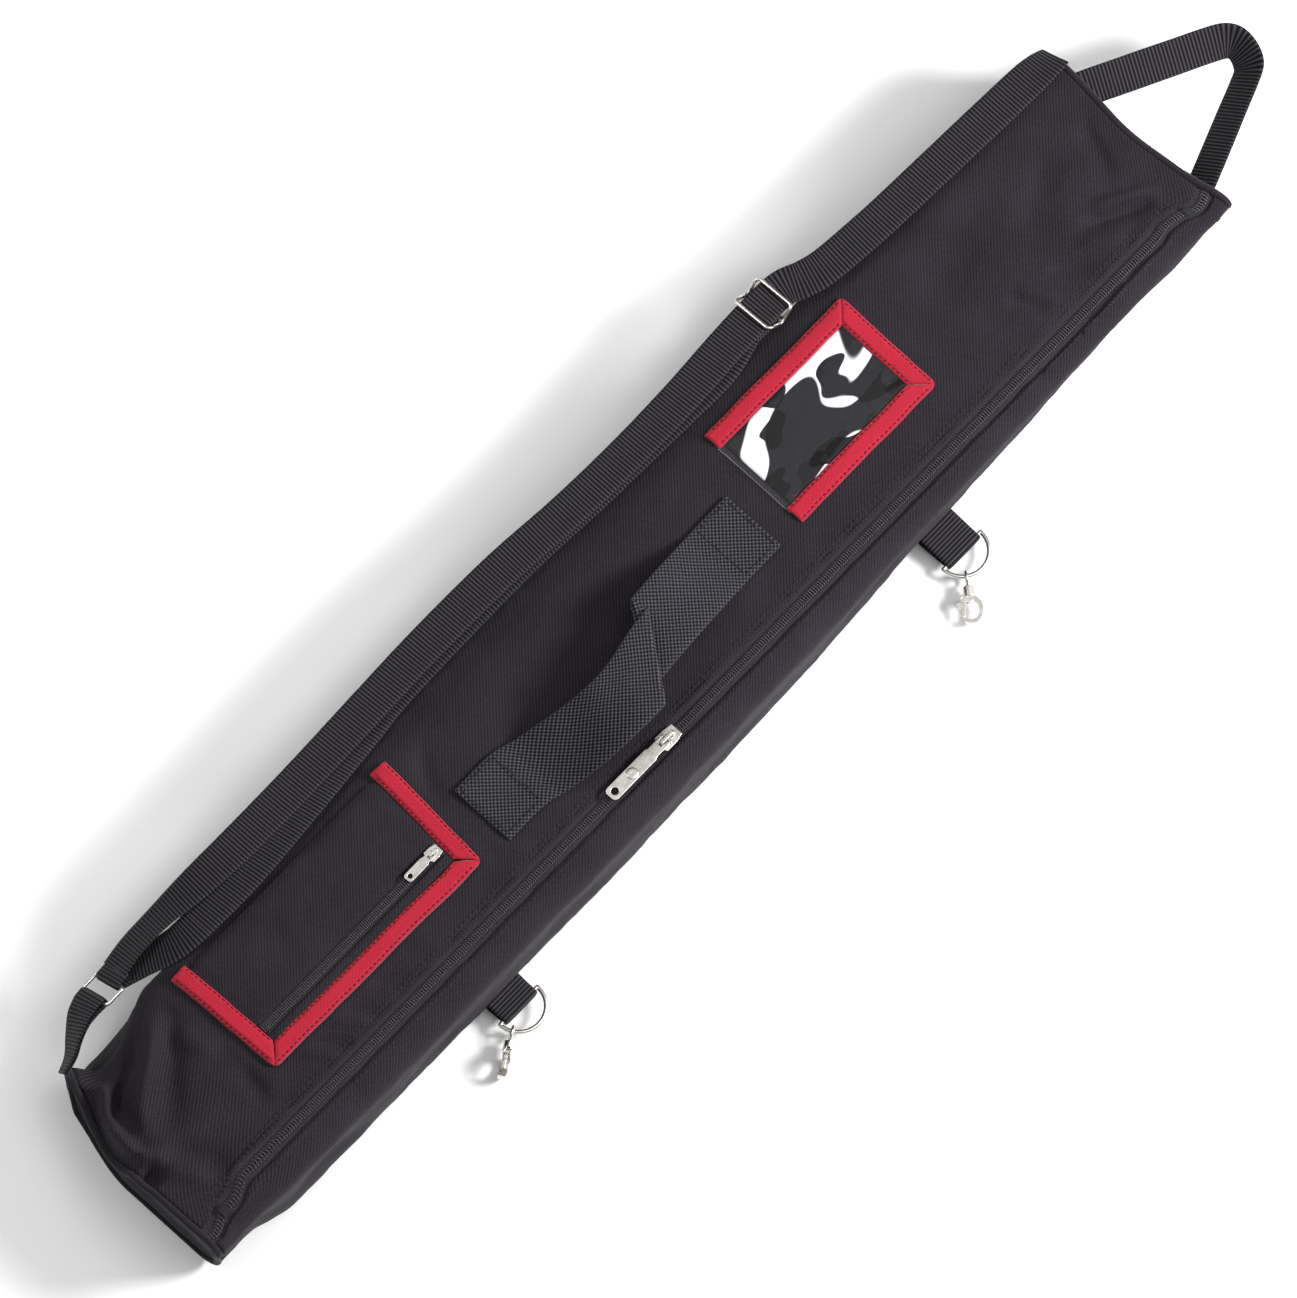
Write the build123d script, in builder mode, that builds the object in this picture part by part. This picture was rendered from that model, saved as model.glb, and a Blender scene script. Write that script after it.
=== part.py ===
from build123d import *
import math
import os

# Long soft bag for drum sticks, lying on its back panel with the front panel up.
# Millimetres. +X runs along the bag to the end with the grab loop, +Y is the side with the
# shoulder strap, -Y the side with the long zipper and the snap hooks, +Z is up.
# The origin is the middle of the back panel's outer face.

# ---------------------------------------------------------------- overall
bag_length = 726.0
bag_width = 126.0
bag_depth = 58.0
wall = 2.0                   # outer cloth, thin foam and lining together
edge_radius = 12.0           # rounding of the four long edges
piping_size = 3.6            # corded edge around each end panel
gap = 0.3                    # clearance between pieces that move past each other
seam = 0.05                  # clearance between pieces that only lie on each other

# ---------------------------------------------------------------- zippers
main_zip_inset = 20.0        # long zipper, in from the zipper side
main_zip_margin = 14.0       # from the end of the chain to the end of the bag
main_slot = 11.0             # cloth edge to cloth edge over the chain
main_chain = 6.2
main_tape = 16.0             # both tapes together, short of the rounded edge
main_slider_x = -33.0
main_slider_length = 14.5
main_slider_width = 9.4
main_pull_length = 42.0
main_pull_width = 8.0

pocket_zip_y = 0.9
pocket_slot = 8.0
pocket_chain = 4.2
pocket_tape = 18.0
pocket_slider_x = -157.0
pocket_slider_length = 9.0
pocket_slider_width = 7.0
pocket_pull_length = 19.0
pocket_pull_width = 5.2

chain_groove = 1.2           # open line along the middle of a chain
tape_thickness = 0.6
stop_length = 4.0

# ---------------------------------------------------------------- front pieces
binding_width = 10.5
pocket_low_x = -291.5
pocket_high_x = -141.0
pocket_low_y = -17.2
pocket_inset = 13.0          # pocket's edge, in from the strap side
pocket_lift = 1.4            # room under the pocket's zipper tape
pocket_cloth = 1.0

window_low_x = 96.0
window_high_x = 195.0
window_low_y = -15.0
window_inset = 11.5
window_sheet = 0.4
card_thickness = 0.4
card_margin = 3.0            # card short of the binding's inner corner
binding_height = 2.0

handle_width = 38.0
handle_y = 1.5
handle_thickness = 2.0
handle_low_x = -125.0
handle_high_x = 80.0
handle_end = 28.0            # sewn length at each end
handle_rise = 15.0
handle_slope = 30.0
handle_bend = 26.0

# ---------------------------------------------------------------- shoulder strap
strap_width = 20.0
strap_thickness = 1.4
strap_out = 14.0             # running layer, out from the bag's side
strap_z = 55.0
strap_roll = -8.0
return_out = 1.0             # returning layer, leaning on the rounded edge
return_z = 55.0
return_roll = -35.0
adjuster_x = 167.0
adjuster_length = 17.0
adjuster_wire = 1.1
adjuster_over = 2.2          # end bars' centre above the strap's middle
adjuster_under = 3.7         # middle bar's centre below it
fold_tail = 16.0             # sewn length of the strap's folded end
ring_x = -316.0
ring_out = 15.0
ring_z = 40.0
ring_roll = -40.0
ring_length = 12.0
ring_wire = 1.1

# ---------------------------------------------------------------- grab loop
grab_width = 20.0
grab_thickness = 1.6
grab_reach = 70.0
grab_low_y = -38.0
grab_high_y = 41.0
grab_tip_y = -5.0
grab_z = 38.0
grab_roll = 40.0

# ---------------------------------------------------------------- side tabs and snap hooks
tab_room = 2.1               # from a tab's edge to the middle of its ring's corner
tab_thickness = 1.2
tab_reach = 10.0
tab_z = 6.5
tab_x = {"upper": 151.5, "lower": -173.5}
hook_heading = {"upper": -38.0, "lower": -60.0}      # from -Y towards -X
hook_roll = {"upper": 0.0, "lower": 90.0}            # 0 lies flat, 90 stands on edge
d_ring_radius = 13.6
d_ring_wire = 1.2
eye_radius = 3.4
eye_wire = 0.9
post_radius = 1.3
post_fit = 0.05              # running fit of the swivel post
hook_thickness = 4.2
hook_length_radius = 7.6
hook_width_radius = 6.0
hook_bar = 2.4               # width of the hook's curved bar
lever_thickness = 1.6
pin_radius = 0.7
pin_fit = 0.05

# ---------------------------------------------------------------- worked out from these
half_length = bag_length / 2
half_width = bag_width / 2
main_zip_y = main_zip_inset - half_width
pocket_high_y = half_width - pocket_inset
window_high_y = half_width - window_inset
strap_y = half_width + strap_out
return_y = half_width + return_out
ring_y = half_width + ring_out
tab_width = 2 * (d_ring_radius - tab_room)
shell_half = half_length - piping_size
top = bag_depth


def save(part, name):
    part.label = name
    export_step(part, f"parts/{name}.step")
    return part


os.makedirs("parts", exist_ok=True)


# ================================================================ bag shell
def shell_ring():
    """Section through the bag: the wall between two rounded rectangles."""
    with Locations((0, bag_depth / 2)):
        RectangleRounded(bag_width, bag_depth, edge_radius)
        RectangleRounded(bag_width - 2 * wall, bag_depth - 2 * wall, edge_radius - wall,
                         mode=Mode.SUBTRACT)


def keep_box(low_y, high_y, low_z, high_z):
    """Keep only the part of the open sketch that lies inside this rectangle."""
    with Locations(((low_y + high_y) / 2, (low_z + high_z) / 2)):
        Rectangle(high_y - low_y, high_z - low_z, mode=Mode.INTERSECT)


main_slot_front = main_zip_y + main_slot / 2
main_slot_side = main_zip_y - main_slot / 2

with BuildPart() as back_panel:
    with BuildSketch(Plane.YZ.offset(-shell_half)):
        shell_ring()
        keep_box(-bag_width, bag_width, 0, edge_radius)
    extrude(amount=2 * shell_half)
save(back_panel.part, "back_panel")

with BuildPart() as front_panel:
    with BuildSketch(Plane.YZ.offset(-shell_half)):
        shell_ring()
        keep_box(main_slot_front, bag_width, bag_depth - edge_radius, bag_depth)
    extrude(amount=2 * shell_half)
save(front_panel.part, "front_panel")

with BuildPart() as strap_side_gusset:
    with BuildSketch(Plane.YZ.offset(-shell_half)):
        shell_ring()
        keep_box(0, bag_width, edge_radius, bag_depth - edge_radius)
    extrude(amount=2 * shell_half)
save(strap_side_gusset.part, "strap_side_gusset")

with BuildPart() as zip_side_gusset:
    with BuildSketch(Plane.YZ.offset(-shell_half)):
        shell_ring()
        keep_box(-bag_width, main_slot_side, edge_radius, bag_depth)
    extrude(amount=2 * shell_half)
save(zip_side_gusset.part, "zip_side_gusset")

# The corded edge is as deep as the shell's wall is far from the end, and the end panel
# fills it.
for end_name, side in (("top", 1), ("bottom", -1)):
    with BuildPart() as piping:
        with BuildSketch(Plane.YZ.offset(side * (half_length - piping_size / 2))):
            with Locations((0, bag_depth / 2)):
                RectangleRounded(bag_width, bag_depth, edge_radius)
                RectangleRounded(bag_width - 2 * piping_size, bag_depth - 2 * piping_size,
                                 edge_radius - piping_size, mode=Mode.SUBTRACT)
        extrude(amount=piping_size / 2, both=True)
        outer_rims = piping.edges().filter_by_position(
            Axis.X, half_length * side - 0.1, half_length * side + 0.1)
        fillet(outer_rims, piping_size * 0.4)
    save(piping.part, f"{end_name}_end_piping")

    with BuildPart() as end_panel:
        with BuildSketch(Plane.YZ.offset(side * (half_length - piping_size / 2))):
            with Locations((0, bag_depth / 2)):
                RectangleRounded(bag_width - 2 * piping_size, bag_depth - 2 * piping_size,
                                 edge_radius - piping_size)
        extrude(amount=wall / 2, both=True)
    save(end_panel.part, f"{end_name}_end_panel")


# ================================================================ zippers
def box_between(low, high):
    """A block inside the open part, from its lowest to its highest corner."""
    with Locations(((low[0] + high[0]) / 2, (low[1] + high[1]) / 2, (low[2] + high[2]) / 2)):
        Box(high[0] - low[0], high[1] - low[1], high[2] - low[2])


def make_tape(low_x, high_x, centre_y, width, side, top_z, name):
    """One woven tape, under the cloth's edge, up to the open line of the chain."""
    inner = centre_y + side * chain_groove / 2
    outer = centre_y + side * width / 2
    with BuildPart() as tape:
        box_between((low_x, min(inner, outer), top_z - tape_thickness),
                    (high_x, max(inner, outer), top_z))
    save(tape.part, name)


def make_coil(low_x, high_x, centre_y, chain_width, side, base_z, height, name):
    """One coil of the chain, sewn on its tape, with a rounded back."""
    inner = centre_y + side * chain_groove / 2
    outer = centre_y + side * chain_width / 2
    with BuildPart() as coil:
        box_between((low_x, min(inner, outer), base_z),
                    (high_x, max(inner, outer), base_z + height))
        upper_edges = coil.edges().filter_by(Axis.X).group_by(Axis.Z)[-1]
        fillet(upper_edges, height * 0.35)
    save(coil.part, name)


def make_slider(x, centre_y, length, width, tail_width, tape_top, coil_height, scale, name):
    """Slider: two plates joined by a web in the chain's open line, and a bridge on top.

    The wide shoulders face -X, the narrow end +X."""
    upper_low = tape_top + coil_height + gap
    plate = 1.2 * scale
    lower_high = tape_top - tape_thickness - gap
    outline = [(-length / 2, 0), (-length * 0.3, width / 2), (length * 0.1, width / 2),
               (length / 2, tail_width / 2), (length / 2, 0)]
    web_width = chain_groove - 2 * gap
    bridge_width = 2.0 * scale
    bridge_length = length * 0.66
    bridge_bar = 1.1 * scale
    bridge_opening = 2.0 * scale + 0.4
    with BuildPart() as slider:
        for base, amount in ((upper_low, plate), (lower_high - plate * 0.8, plate * 0.8)):
            with BuildSketch(Plane((x, centre_y, base))) as plan:
                with BuildLine():
                    Polyline(*outline, close=True)
                make_face()
                mirror(about=Plane.XZ)
            extrude(amount=amount)
        box_between((x - length * 0.28, centre_y - web_width / 2, lower_high - 0.2),
                    (x + length * 0.1, centre_y + web_width / 2, upper_low + 0.2))
        with BuildSketch(Plane.XZ.offset(-centre_y)):
            with Locations((x, upper_low + plate + (bridge_opening + bridge_bar) / 2)):
                Rectangle(bridge_length, bridge_opening + bridge_bar)
                with Locations((0, -bridge_bar / 2)):
                    Rectangle(bridge_length - 2 * bridge_bar, bridge_opening, mode=Mode.SUBTRACT)
        extrude(amount=bridge_width / 2, both=True)
        crown = slider.faces().sort_by(Axis.Z)[-1].edges().filter_by(Axis.Y)
        fillet(crown, bridge_bar * 0.9)
    save(slider.part, name)
    return upper_low + plate + bridge_opening / 2


def make_pull(x, centre_y, axis_z, length, width, bridge_half, scale, name):
    """Pull tab lying towards -X: cross bar under the bridge, two prongs, a drilled plate."""
    thickness = 1.1 * scale
    bar_radius = 0.75 * scale
    eye_inside = bridge_half + 0.6
    plate_end = x - length
    hole_radius = width * 0.25
    prong = 1.3 * scale
    with BuildPart() as pull:
        with BuildSketch(Plane((x, centre_y, axis_z - thickness / 2))):
            with Locations((-length / 2, 0)):
                RectangleRounded(length, width * 0.8, width * 0.25)
            with Locations((-length * 0.62, 0)):
                RectangleRounded(length * 0.76, width, width * 0.35)
            with Locations((-eye_inside / 2 + bar_radius / 2, 0)):
                Rectangle(eye_inside + bar_radius, width * 0.8 - 2 * prong, mode=Mode.SUBTRACT)
            with Locations((plate_end - x + hole_radius * 2, 0)):
                Circle(hole_radius, mode=Mode.SUBTRACT)
        extrude(amount=thickness)
        with Locations(Location((x, centre_y, axis_z), (90, 0, 0))):
            Cylinder(bar_radius, width * 0.8)
    save(pull.part, name)


main_chain_half = half_length - main_zip_margin
main_tape_top = top - wall - seam
main_coil_height = wall + 0.2
for side_name, side in (("front", 1), ("gusset", -1)):
    make_tape(-main_chain_half, main_chain_half, main_zip_y, main_tape, side,
              main_tape_top, f"main_zip_tape_{side_name}")
    make_coil(-main_chain_half + stop_length, main_chain_half - stop_length, main_zip_y,
              main_chain, side, main_tape_top, main_coil_height, f"main_zip_coil_{side_name}")

with BuildPart() as main_zip_stops:
    for end in (-1, 1):
        middle = end * (main_chain_half - stop_length / 2)
        box_between((middle - stop_length / 2 + seam, main_zip_y - main_chain / 2, main_tape_top),
                    (middle + stop_length / 2 - seam, main_zip_y + main_chain / 2,
                     main_tape_top + main_coil_height))
save(main_zip_stops.part, "main_zip_stops")

main_pull_z = make_slider(main_slider_x, main_zip_y, main_slider_length, main_slider_width,
                          7.4, main_tape_top, main_coil_height, 1.0, "main_zip_slider")
make_pull(main_slider_x, main_zip_y, main_pull_z, main_pull_length, main_pull_width,
          main_slider_length * 0.33, 1.0, "main_zip_pull")

# ================================================================ zip pocket
pocket_tape_top = top + pocket_lift + tape_thickness
pocket_coil_height = 1.5
pocket_inner_low_y = pocket_low_y + binding_width
pocket_inner_low_x = pocket_low_x + binding_width
pocket_inner_high_x = pocket_high_x - binding_width
pocket_slider_end = pocket_inner_high_x - seam

for part_name, low_y, high_y in (
        ("pocket_panel_large", pocket_zip_y + pocket_slot / 2, pocket_high_y),
        ("pocket_panel_small", pocket_inner_low_y + seam, pocket_zip_y - pocket_slot / 2)):
    with BuildPart() as pocket_panel:
        box_between((pocket_inner_low_x + seam, low_y, pocket_tape_top + seam),
                    (pocket_inner_high_x - seam, high_y, pocket_tape_top + seam + pocket_cloth))
    save(pocket_panel.part, part_name)

binding_top = pocket_tape_top + seam + pocket_cloth
with BuildPart() as pocket_binding:
    with BuildSketch(Plane.XY.offset(top)):
        with BuildLine():
            Polyline((pocket_low_x, pocket_high_y), (pocket_low_x, pocket_low_y),
                     (pocket_high_x, pocket_low_y), (pocket_high_x, pocket_high_y),
                     (pocket_inner_high_x, pocket_high_y),
                     (pocket_inner_high_x, pocket_inner_low_y),
                     (pocket_inner_low_x, pocket_inner_low_y),
                     (pocket_inner_low_x, pocket_high_y), close=True)
        make_face()
    extrude(amount=binding_top - top)
save(pocket_binding.part, "pocket_binding")

with BuildPart() as pocket_hem:
    box_between((pocket_inner_low_x + seam, pocket_high_y - 3.0, top),
                (pocket_inner_high_x - seam, pocket_high_y, pocket_tape_top))
save(pocket_hem.part, "pocket_hem")

for side_name, side in (("large", 1), ("small", -1)):
    inner = pocket_zip_y + side * chain_groove / 2
    reach = pocket_inner_low_y + seam if side < 0 else pocket_zip_y + pocket_tape / 2
    with BuildPart() as pocket_tape_part:
        box_between((pocket_inner_low_x + seam, min(inner, reach), pocket_tape_top - tape_thickness),
                    (pocket_slider_end, max(inner, reach), pocket_tape_top))
    save(pocket_tape_part.part, f"pocket_zip_tape_{side_name}")
    make_coil(pocket_inner_low_x + seam, pocket_slider_end, pocket_zip_y, pocket_chain, side,
              pocket_tape_top, pocket_coil_height, f"pocket_zip_coil_{side_name}")

pocket_pull_z = make_slider(pocket_slider_x, pocket_zip_y, pocket_slider_length,
                            pocket_slider_width, 5.4, pocket_tape_top, pocket_coil_height,
                            0.72, "pocket_zip_slider")
make_pull(pocket_slider_x, pocket_zip_y, pocket_pull_z, pocket_pull_length,
          pocket_pull_width, pocket_slider_length * 0.33, 0.72, "pocket_zip_pull")

# ================================================================ card window
window_inner_high_x = window_high_x - binding_width
window_inner_low_y = window_low_y + binding_width
window_inner_high_y = window_high_y - binding_width
sheet_low = top + card_thickness + 2 * gap

with BuildPart() as window_binding:
    with BuildSketch(Plane.XY.offset(top)):
        with BuildLine():
            Polyline((window_low_x, window_low_y), (window_high_x, window_low_y),
                     (window_high_x, window_high_y), (window_low_x, window_high_y),
                     (window_low_x, window_inner_high_y),
                     (window_inner_high_x, window_inner_high_y),
                     (window_inner_high_x, window_inner_low_y),
                     (window_low_x, window_inner_low_y), close=True)
        make_face()
    extrude(amount=binding_height)
save(window_binding.part, "window_binding")

with BuildPart() as window_sheet_part:
    box_between((window_low_x, window_inner_low_y + seam, sheet_low),
                (window_inner_high_x - seam, window_inner_high_y - seam, sheet_low + window_sheet))
save(window_sheet_part.part, "window_sheet")

with BuildPart() as insert_card:
    box_between((window_low_x + card_margin, window_inner_low_y + gap, top + gap),
                (window_inner_high_x - gap, window_inner_high_y - gap,
                 top + gap + card_thickness))
save(insert_card.part, "insert_card")

# ================================================================ carry handle
handle_mid_z = top + handle_thickness / 2
with BuildPart() as carry_handle:
    with BuildSketch(Plane.XZ.offset(-handle_y)):
        with BuildLine():
            FilletPolyline(
                (handle_low_x, handle_mid_z),
                (handle_low_x + handle_end, handle_mid_z),
                (handle_low_x + handle_end + handle_slope, handle_mid_z + handle_rise),
                (handle_high_x - handle_end - handle_slope, handle_mid_z + handle_rise),
                (handle_high_x - handle_end, handle_mid_z),
                (handle_high_x, handle_mid_z), radius=handle_bend)
        trace(line_width=handle_thickness)
    extrude(amount=handle_width / 2, both=True)
save(carry_handle.part, "carry_handle")


# ================================================================ shoulder strap
def strap_plane(x, y, z, roll):
    """Plane across the strap: its local x is the strap's width, rolled about X."""
    angle = math.radians(roll)
    return Plane(origin=(x, y, z), x_dir=(0, math.cos(angle), math.sin(angle)), z_dir=(1, 0, 0))


def webbing(stations, width, thickness):
    """Flat webbing through its cross-sections, straight from each to the next."""
    sections = []
    for x, y, z, roll in stations:
        with BuildSketch(strap_plane(x, y, z, roll)) as section:
            Rectangle(width, thickness)
        sections.append(section.sketch)
    loft(sections, ruled=True)


strap_rest_z = top + seam + strap_thickness / 2
strap_seam_y = half_width - 6.5
ring_near_x = ring_x + ring_length / 2       # bar that the strap goes round
ring_far_x = ring_x - ring_length / 2        # bar that the anchor tab goes round
layer_apart = ring_wire + gap + strap_thickness / 2


def beside_ring(offset):
    """Y and Z at a distance above the ring's plane."""
    angle = math.radians(ring_roll)
    return ring_y - offset * math.sin(angle), ring_z + offset * math.cos(angle)


upper_y, upper_z = beside_ring(layer_apart)
under_y, under_z = beside_ring(-layer_apart)
wrap_end_x = ring_near_x + 7.0

with BuildPart() as shoulder_strap:
    webbing([(wrap_end_x + gap, upper_y, upper_z, ring_roll),
             (-250.0, strap_y, strap_z, strap_roll),
             (182.0, strap_y, strap_z, strap_roll),
             (204.0, half_width + 4.5, top + 1.0, strap_roll),
             (250.0, half_width, top + 1.5, strap_roll),
             (300.0, half_width - 3.0, top + 1.3, -4.0),
             (shell_half, strap_seam_y, strap_rest_z, 0.0)], strap_width, strap_thickness)
save(shoulder_strap.part, "shoulder_strap")

adjuster_plane = strap_plane(adjuster_x, strap_y, strap_z, strap_roll)
fold_centre = adjuster_plane.from_local_coords((0, -adjuster_under, 0))
with BuildPart() as strap_return:
    webbing([(wrap_end_x + gap, under_y, under_z, ring_roll),
             (-235.0, return_y, return_z, return_roll),
             (95.0, return_y, return_z, return_roll),
             (adjuster_x - fold_tail - gap, fold_centre.Y, fold_centre.Z, strap_roll)],
            strap_width, strap_thickness)
save(strap_return.part, "strap_return")

# The adjuster is a bowed wire frame: its end bars cross over the strap, its middle bar under
# it. Local x of its plane is across the strap and local y is up.
adjuster_half_width = strap_width / 2 + adjuster_wire + 0.6
with BuildPart() as strap_adjuster:
    for end in (-1, 0, 1):
        height = adjuster_over if end else -adjuster_under
        with BuildSketch(Plane(adjuster_plane.from_local_coords((0, height,
                                                                end * adjuster_length / 2)),
                               x_dir=(1, 0, 0), z_dir=adjuster_plane.x_dir)):
            Circle(adjuster_wire)
        extrude(amount=adjuster_half_width, both=True)
    for side in (-1, 1):
        corners = [adjuster_plane.from_local_coords((side * adjuster_half_width, height, along))
                   for height, along in ((adjuster_over, -adjuster_length / 2),
                                         (-adjuster_under, 0),
                                         (adjuster_over, adjuster_length / 2))]
        for start, finish in ((corners[0], corners[1]), (corners[1], corners[2])):
            with BuildSketch(Plane(start, z_dir=finish - start)):
                Circle(adjuster_wire)
            extrude(amount=(finish - start).length)
        for corner in corners:
            with Locations(corner):
                Sphere(adjuster_wire)
save(strap_adjuster.part, "strap_adjuster")

# The strap's end is folded round the middle bar and sewn back on itself.
with BuildPart() as strap_end_fold:
    with BuildSketch(Plane(fold_centre, x_dir=(1, 0, 0), z_dir=-adjuster_plane.x_dir)):
        Circle(adjuster_wire + seam + strap_thickness)
        with Locations((-fold_tail / 2, 0)):
            Rectangle(fold_tail, 2 * strap_thickness)
        Circle(adjuster_wire + seam, mode=Mode.SUBTRACT)
    extrude(amount=strap_width / 2, both=True)
save(strap_end_fold.part, "strap_end_fold")


def wire_bar(start, finish, radius):
    """Round wire from one point to another, with a ball at its first end."""
    with BuildSketch(Plane(start, z_dir=finish - start)) as section:
        Circle(radius)
    extrude(section.sketch, amount=(finish - start).length)
    with Locations(start):
        Sphere(radius)


ring_half_width = strap_width / 2 + ring_wire + 0.6
ring_plane = strap_plane(ring_x, ring_y, ring_z, ring_roll)
ring_corners = [ring_plane.from_local_coords((across, 0, along))
                for across, along in ((-ring_half_width, -ring_length / 2),
                                      (ring_half_width, -ring_length / 2),
                                      (ring_half_width, ring_length / 2),
                                      (-ring_half_width, ring_length / 2))]
with BuildPart() as strap_ring:
    for number, corner in enumerate(ring_corners):
        wire_bar(corner, ring_corners[(number + 1) % 4], ring_wire)
save(strap_ring.part, "strap_ring")


def bar_fold(bar_x, direction, length, thickness, inner_radius, name):
    """Webbing folded round a ring's bar, both layers running on in one direction of X."""
    apart = inner_radius + thickness / 2
    with BuildPart() as fold:
        with BuildSketch(Plane(ring_plane.from_local_coords((0, 0, bar_x - ring_x)),
                               x_dir=(1, 0, 0), z_dir=-ring_plane.x_dir)):
            Circle(inner_radius + thickness)
            Circle(inner_radius, mode=Mode.SUBTRACT)
            with Locations((direction * length / 2, 0)):
                Rectangle(length, 2 * (inner_radius + thickness) + 1, mode=Mode.SUBTRACT)
            for level in (-1, 1):
                with Locations((direction * length / 2, level * apart)):
                    Rectangle(length, thickness)
        extrude(amount=strap_width / 2, both=True)
    save(fold.part, name)


bar_fold(ring_near_x, 1, wrap_end_x - ring_near_x, strap_thickness, ring_wire + gap,
         "strap_ring_fold")

# Anchor tab: folded round the ring's far bar, then both layers lie together and turn to lie
# flat on the bag's side near the bottom end.
tab_start_x = ring_far_x - 6.0
with BuildPart() as strap_anchor_tab:
    with BuildSketch(Plane(ring_plane.from_local_coords((0, 0, ring_far_x - ring_x)),
                           x_dir=(1, 0, 0), z_dir=-ring_plane.x_dir)):
        Circle(ring_wire + gap + strap_thickness)
        with Locations((-3.0, 0)):
            Rectangle(6.0, 2 * strap_thickness)
        Circle(ring_wire + gap, mode=Mode.SUBTRACT)
    extrude(amount=strap_width / 2, both=True)
    webbing([(tab_start_x, ring_y, ring_z, ring_roll),
             (tab_start_x - 14.0, half_width + 7.0, ring_z - 5.0, -65.0),
             (tab_start_x - 24.0, half_width + seam + strap_thickness, ring_z - 9.0, -90.0),
             (-shell_half, half_width + seam + strap_thickness, ring_z - 9.0, -90.0)],
            strap_width, 2 * strap_thickness)
save(strap_anchor_tab.part, "strap_anchor_tab")

# ================================================================ grab loop
grab_x = half_length + gap + grab_thickness
grab_tip_x = half_length + grab_reach


def leg_plane(x, y, towards):
    """Plane across a leg of the grab loop, rolled about the leg's own direction."""
    along = Vector(grab_tip_x - grab_x, towards, 0).normalized()
    level = Vector(0, 0, 1).cross(along)
    angle = math.radians(grab_roll)
    across = level * math.cos(angle) + Vector(0, 0, 1) * math.sin(angle)
    return Plane(origin=(x, y, grab_z), x_dir=across, z_dir=along)


with BuildPart() as grab_loop:
    for foot_y in (grab_low_y, grab_high_y):
        towards = grab_tip_y - foot_y
        leg = Vector(grab_tip_x - grab_x, towards, 0)
        with BuildSketch(leg_plane(grab_x + 10.0, foot_y + towards * 10.0 / leg.X, towards)):
            Rectangle(grab_width, grab_thickness)
        extrude(amount=leg.length - 10.0)
    foot_height = grab_width * math.sin(math.radians(grab_roll)) / 2
    for foot_y in (grab_low_y, grab_high_y):
        towards = grab_tip_y - foot_y
        leg = Vector(grab_tip_x - grab_x, towards, 0)
        with BuildSketch(Plane(origin=(grab_x, foot_y, grab_z), x_dir=(0, 1, 0),
                               z_dir=(1, 0, 0))):
            Rectangle(grab_width, grab_thickness)
        with BuildSketch(leg_plane(grab_x + 10.0, foot_y + towards * 10.0 / leg.X, towards)):
            Rectangle(grab_width, grab_thickness)
        loft(ruled=True)
save(grab_loop.part, "grab_loop")


# ================================================================ side tabs, D rings, snap hooks
tab_inner = d_ring_wire + gap
bar_y = -half_width - tab_reach


def make_side_tab(x, name):
    """Webbing folded round the D ring's straight bar and sewn to the bag's side."""
    with BuildPart() as tab:
        with BuildSketch(Plane.YZ.offset(x)):
            with Locations((bar_y, tab_z)):
                Circle(tab_inner + tab_thickness)
            with Locations(((bar_y - half_width - seam) / 2, tab_z)):
                Rectangle(tab_reach - seam, 2 * tab_thickness)
            with Locations((bar_y, tab_z)):
                Circle(tab_inner, mode=Mode.SUBTRACT)
        extrude(amount=tab_width / 2, both=True)
    save(tab.part, name)


def make_d_ring(x, name):
    """Straight bar and half-round arc of one wire, lying level, arc towards -Y."""
    with BuildPart() as d_ring:
        with BuildSketch(Plane.YZ.offset(x)):
            with Locations((bar_y, tab_z)):
                Circle(d_ring_wire)
        extrude(amount=d_ring_radius, both=True)
        with BuildSketch(Plane((x - d_ring_radius, bar_y, tab_z), x_dir=(1, 0, 0),
                               z_dir=(0, 1, 0))):
            Circle(d_ring_wire)
        revolve(axis=Axis((x, bar_y, tab_z), (0, 0, 1)), revolution_arc=180)
        for side in (-1, 1):
            with Locations((x + side * d_ring_radius, bar_y, tab_z)):
                Sphere(d_ring_wire)
    save(d_ring.part, name)


eye_centre = d_ring_radius - d_ring_wire - gap + eye_radius - eye_wire
collar_low = eye_centre + eye_radius + eye_wire + gap
collar_high = collar_low + 2.0
head_high = collar_high + 1.5
hook_centre = head_high + 1.2 + hook_length_radius
pivot_u = hook_centre - hook_length_radius + 1.6
pivot_v = -3.4
lever_slot = lever_thickness + 2 * gap
lever_tip_u = hook_centre + hook_length_radius * 0.42


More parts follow.
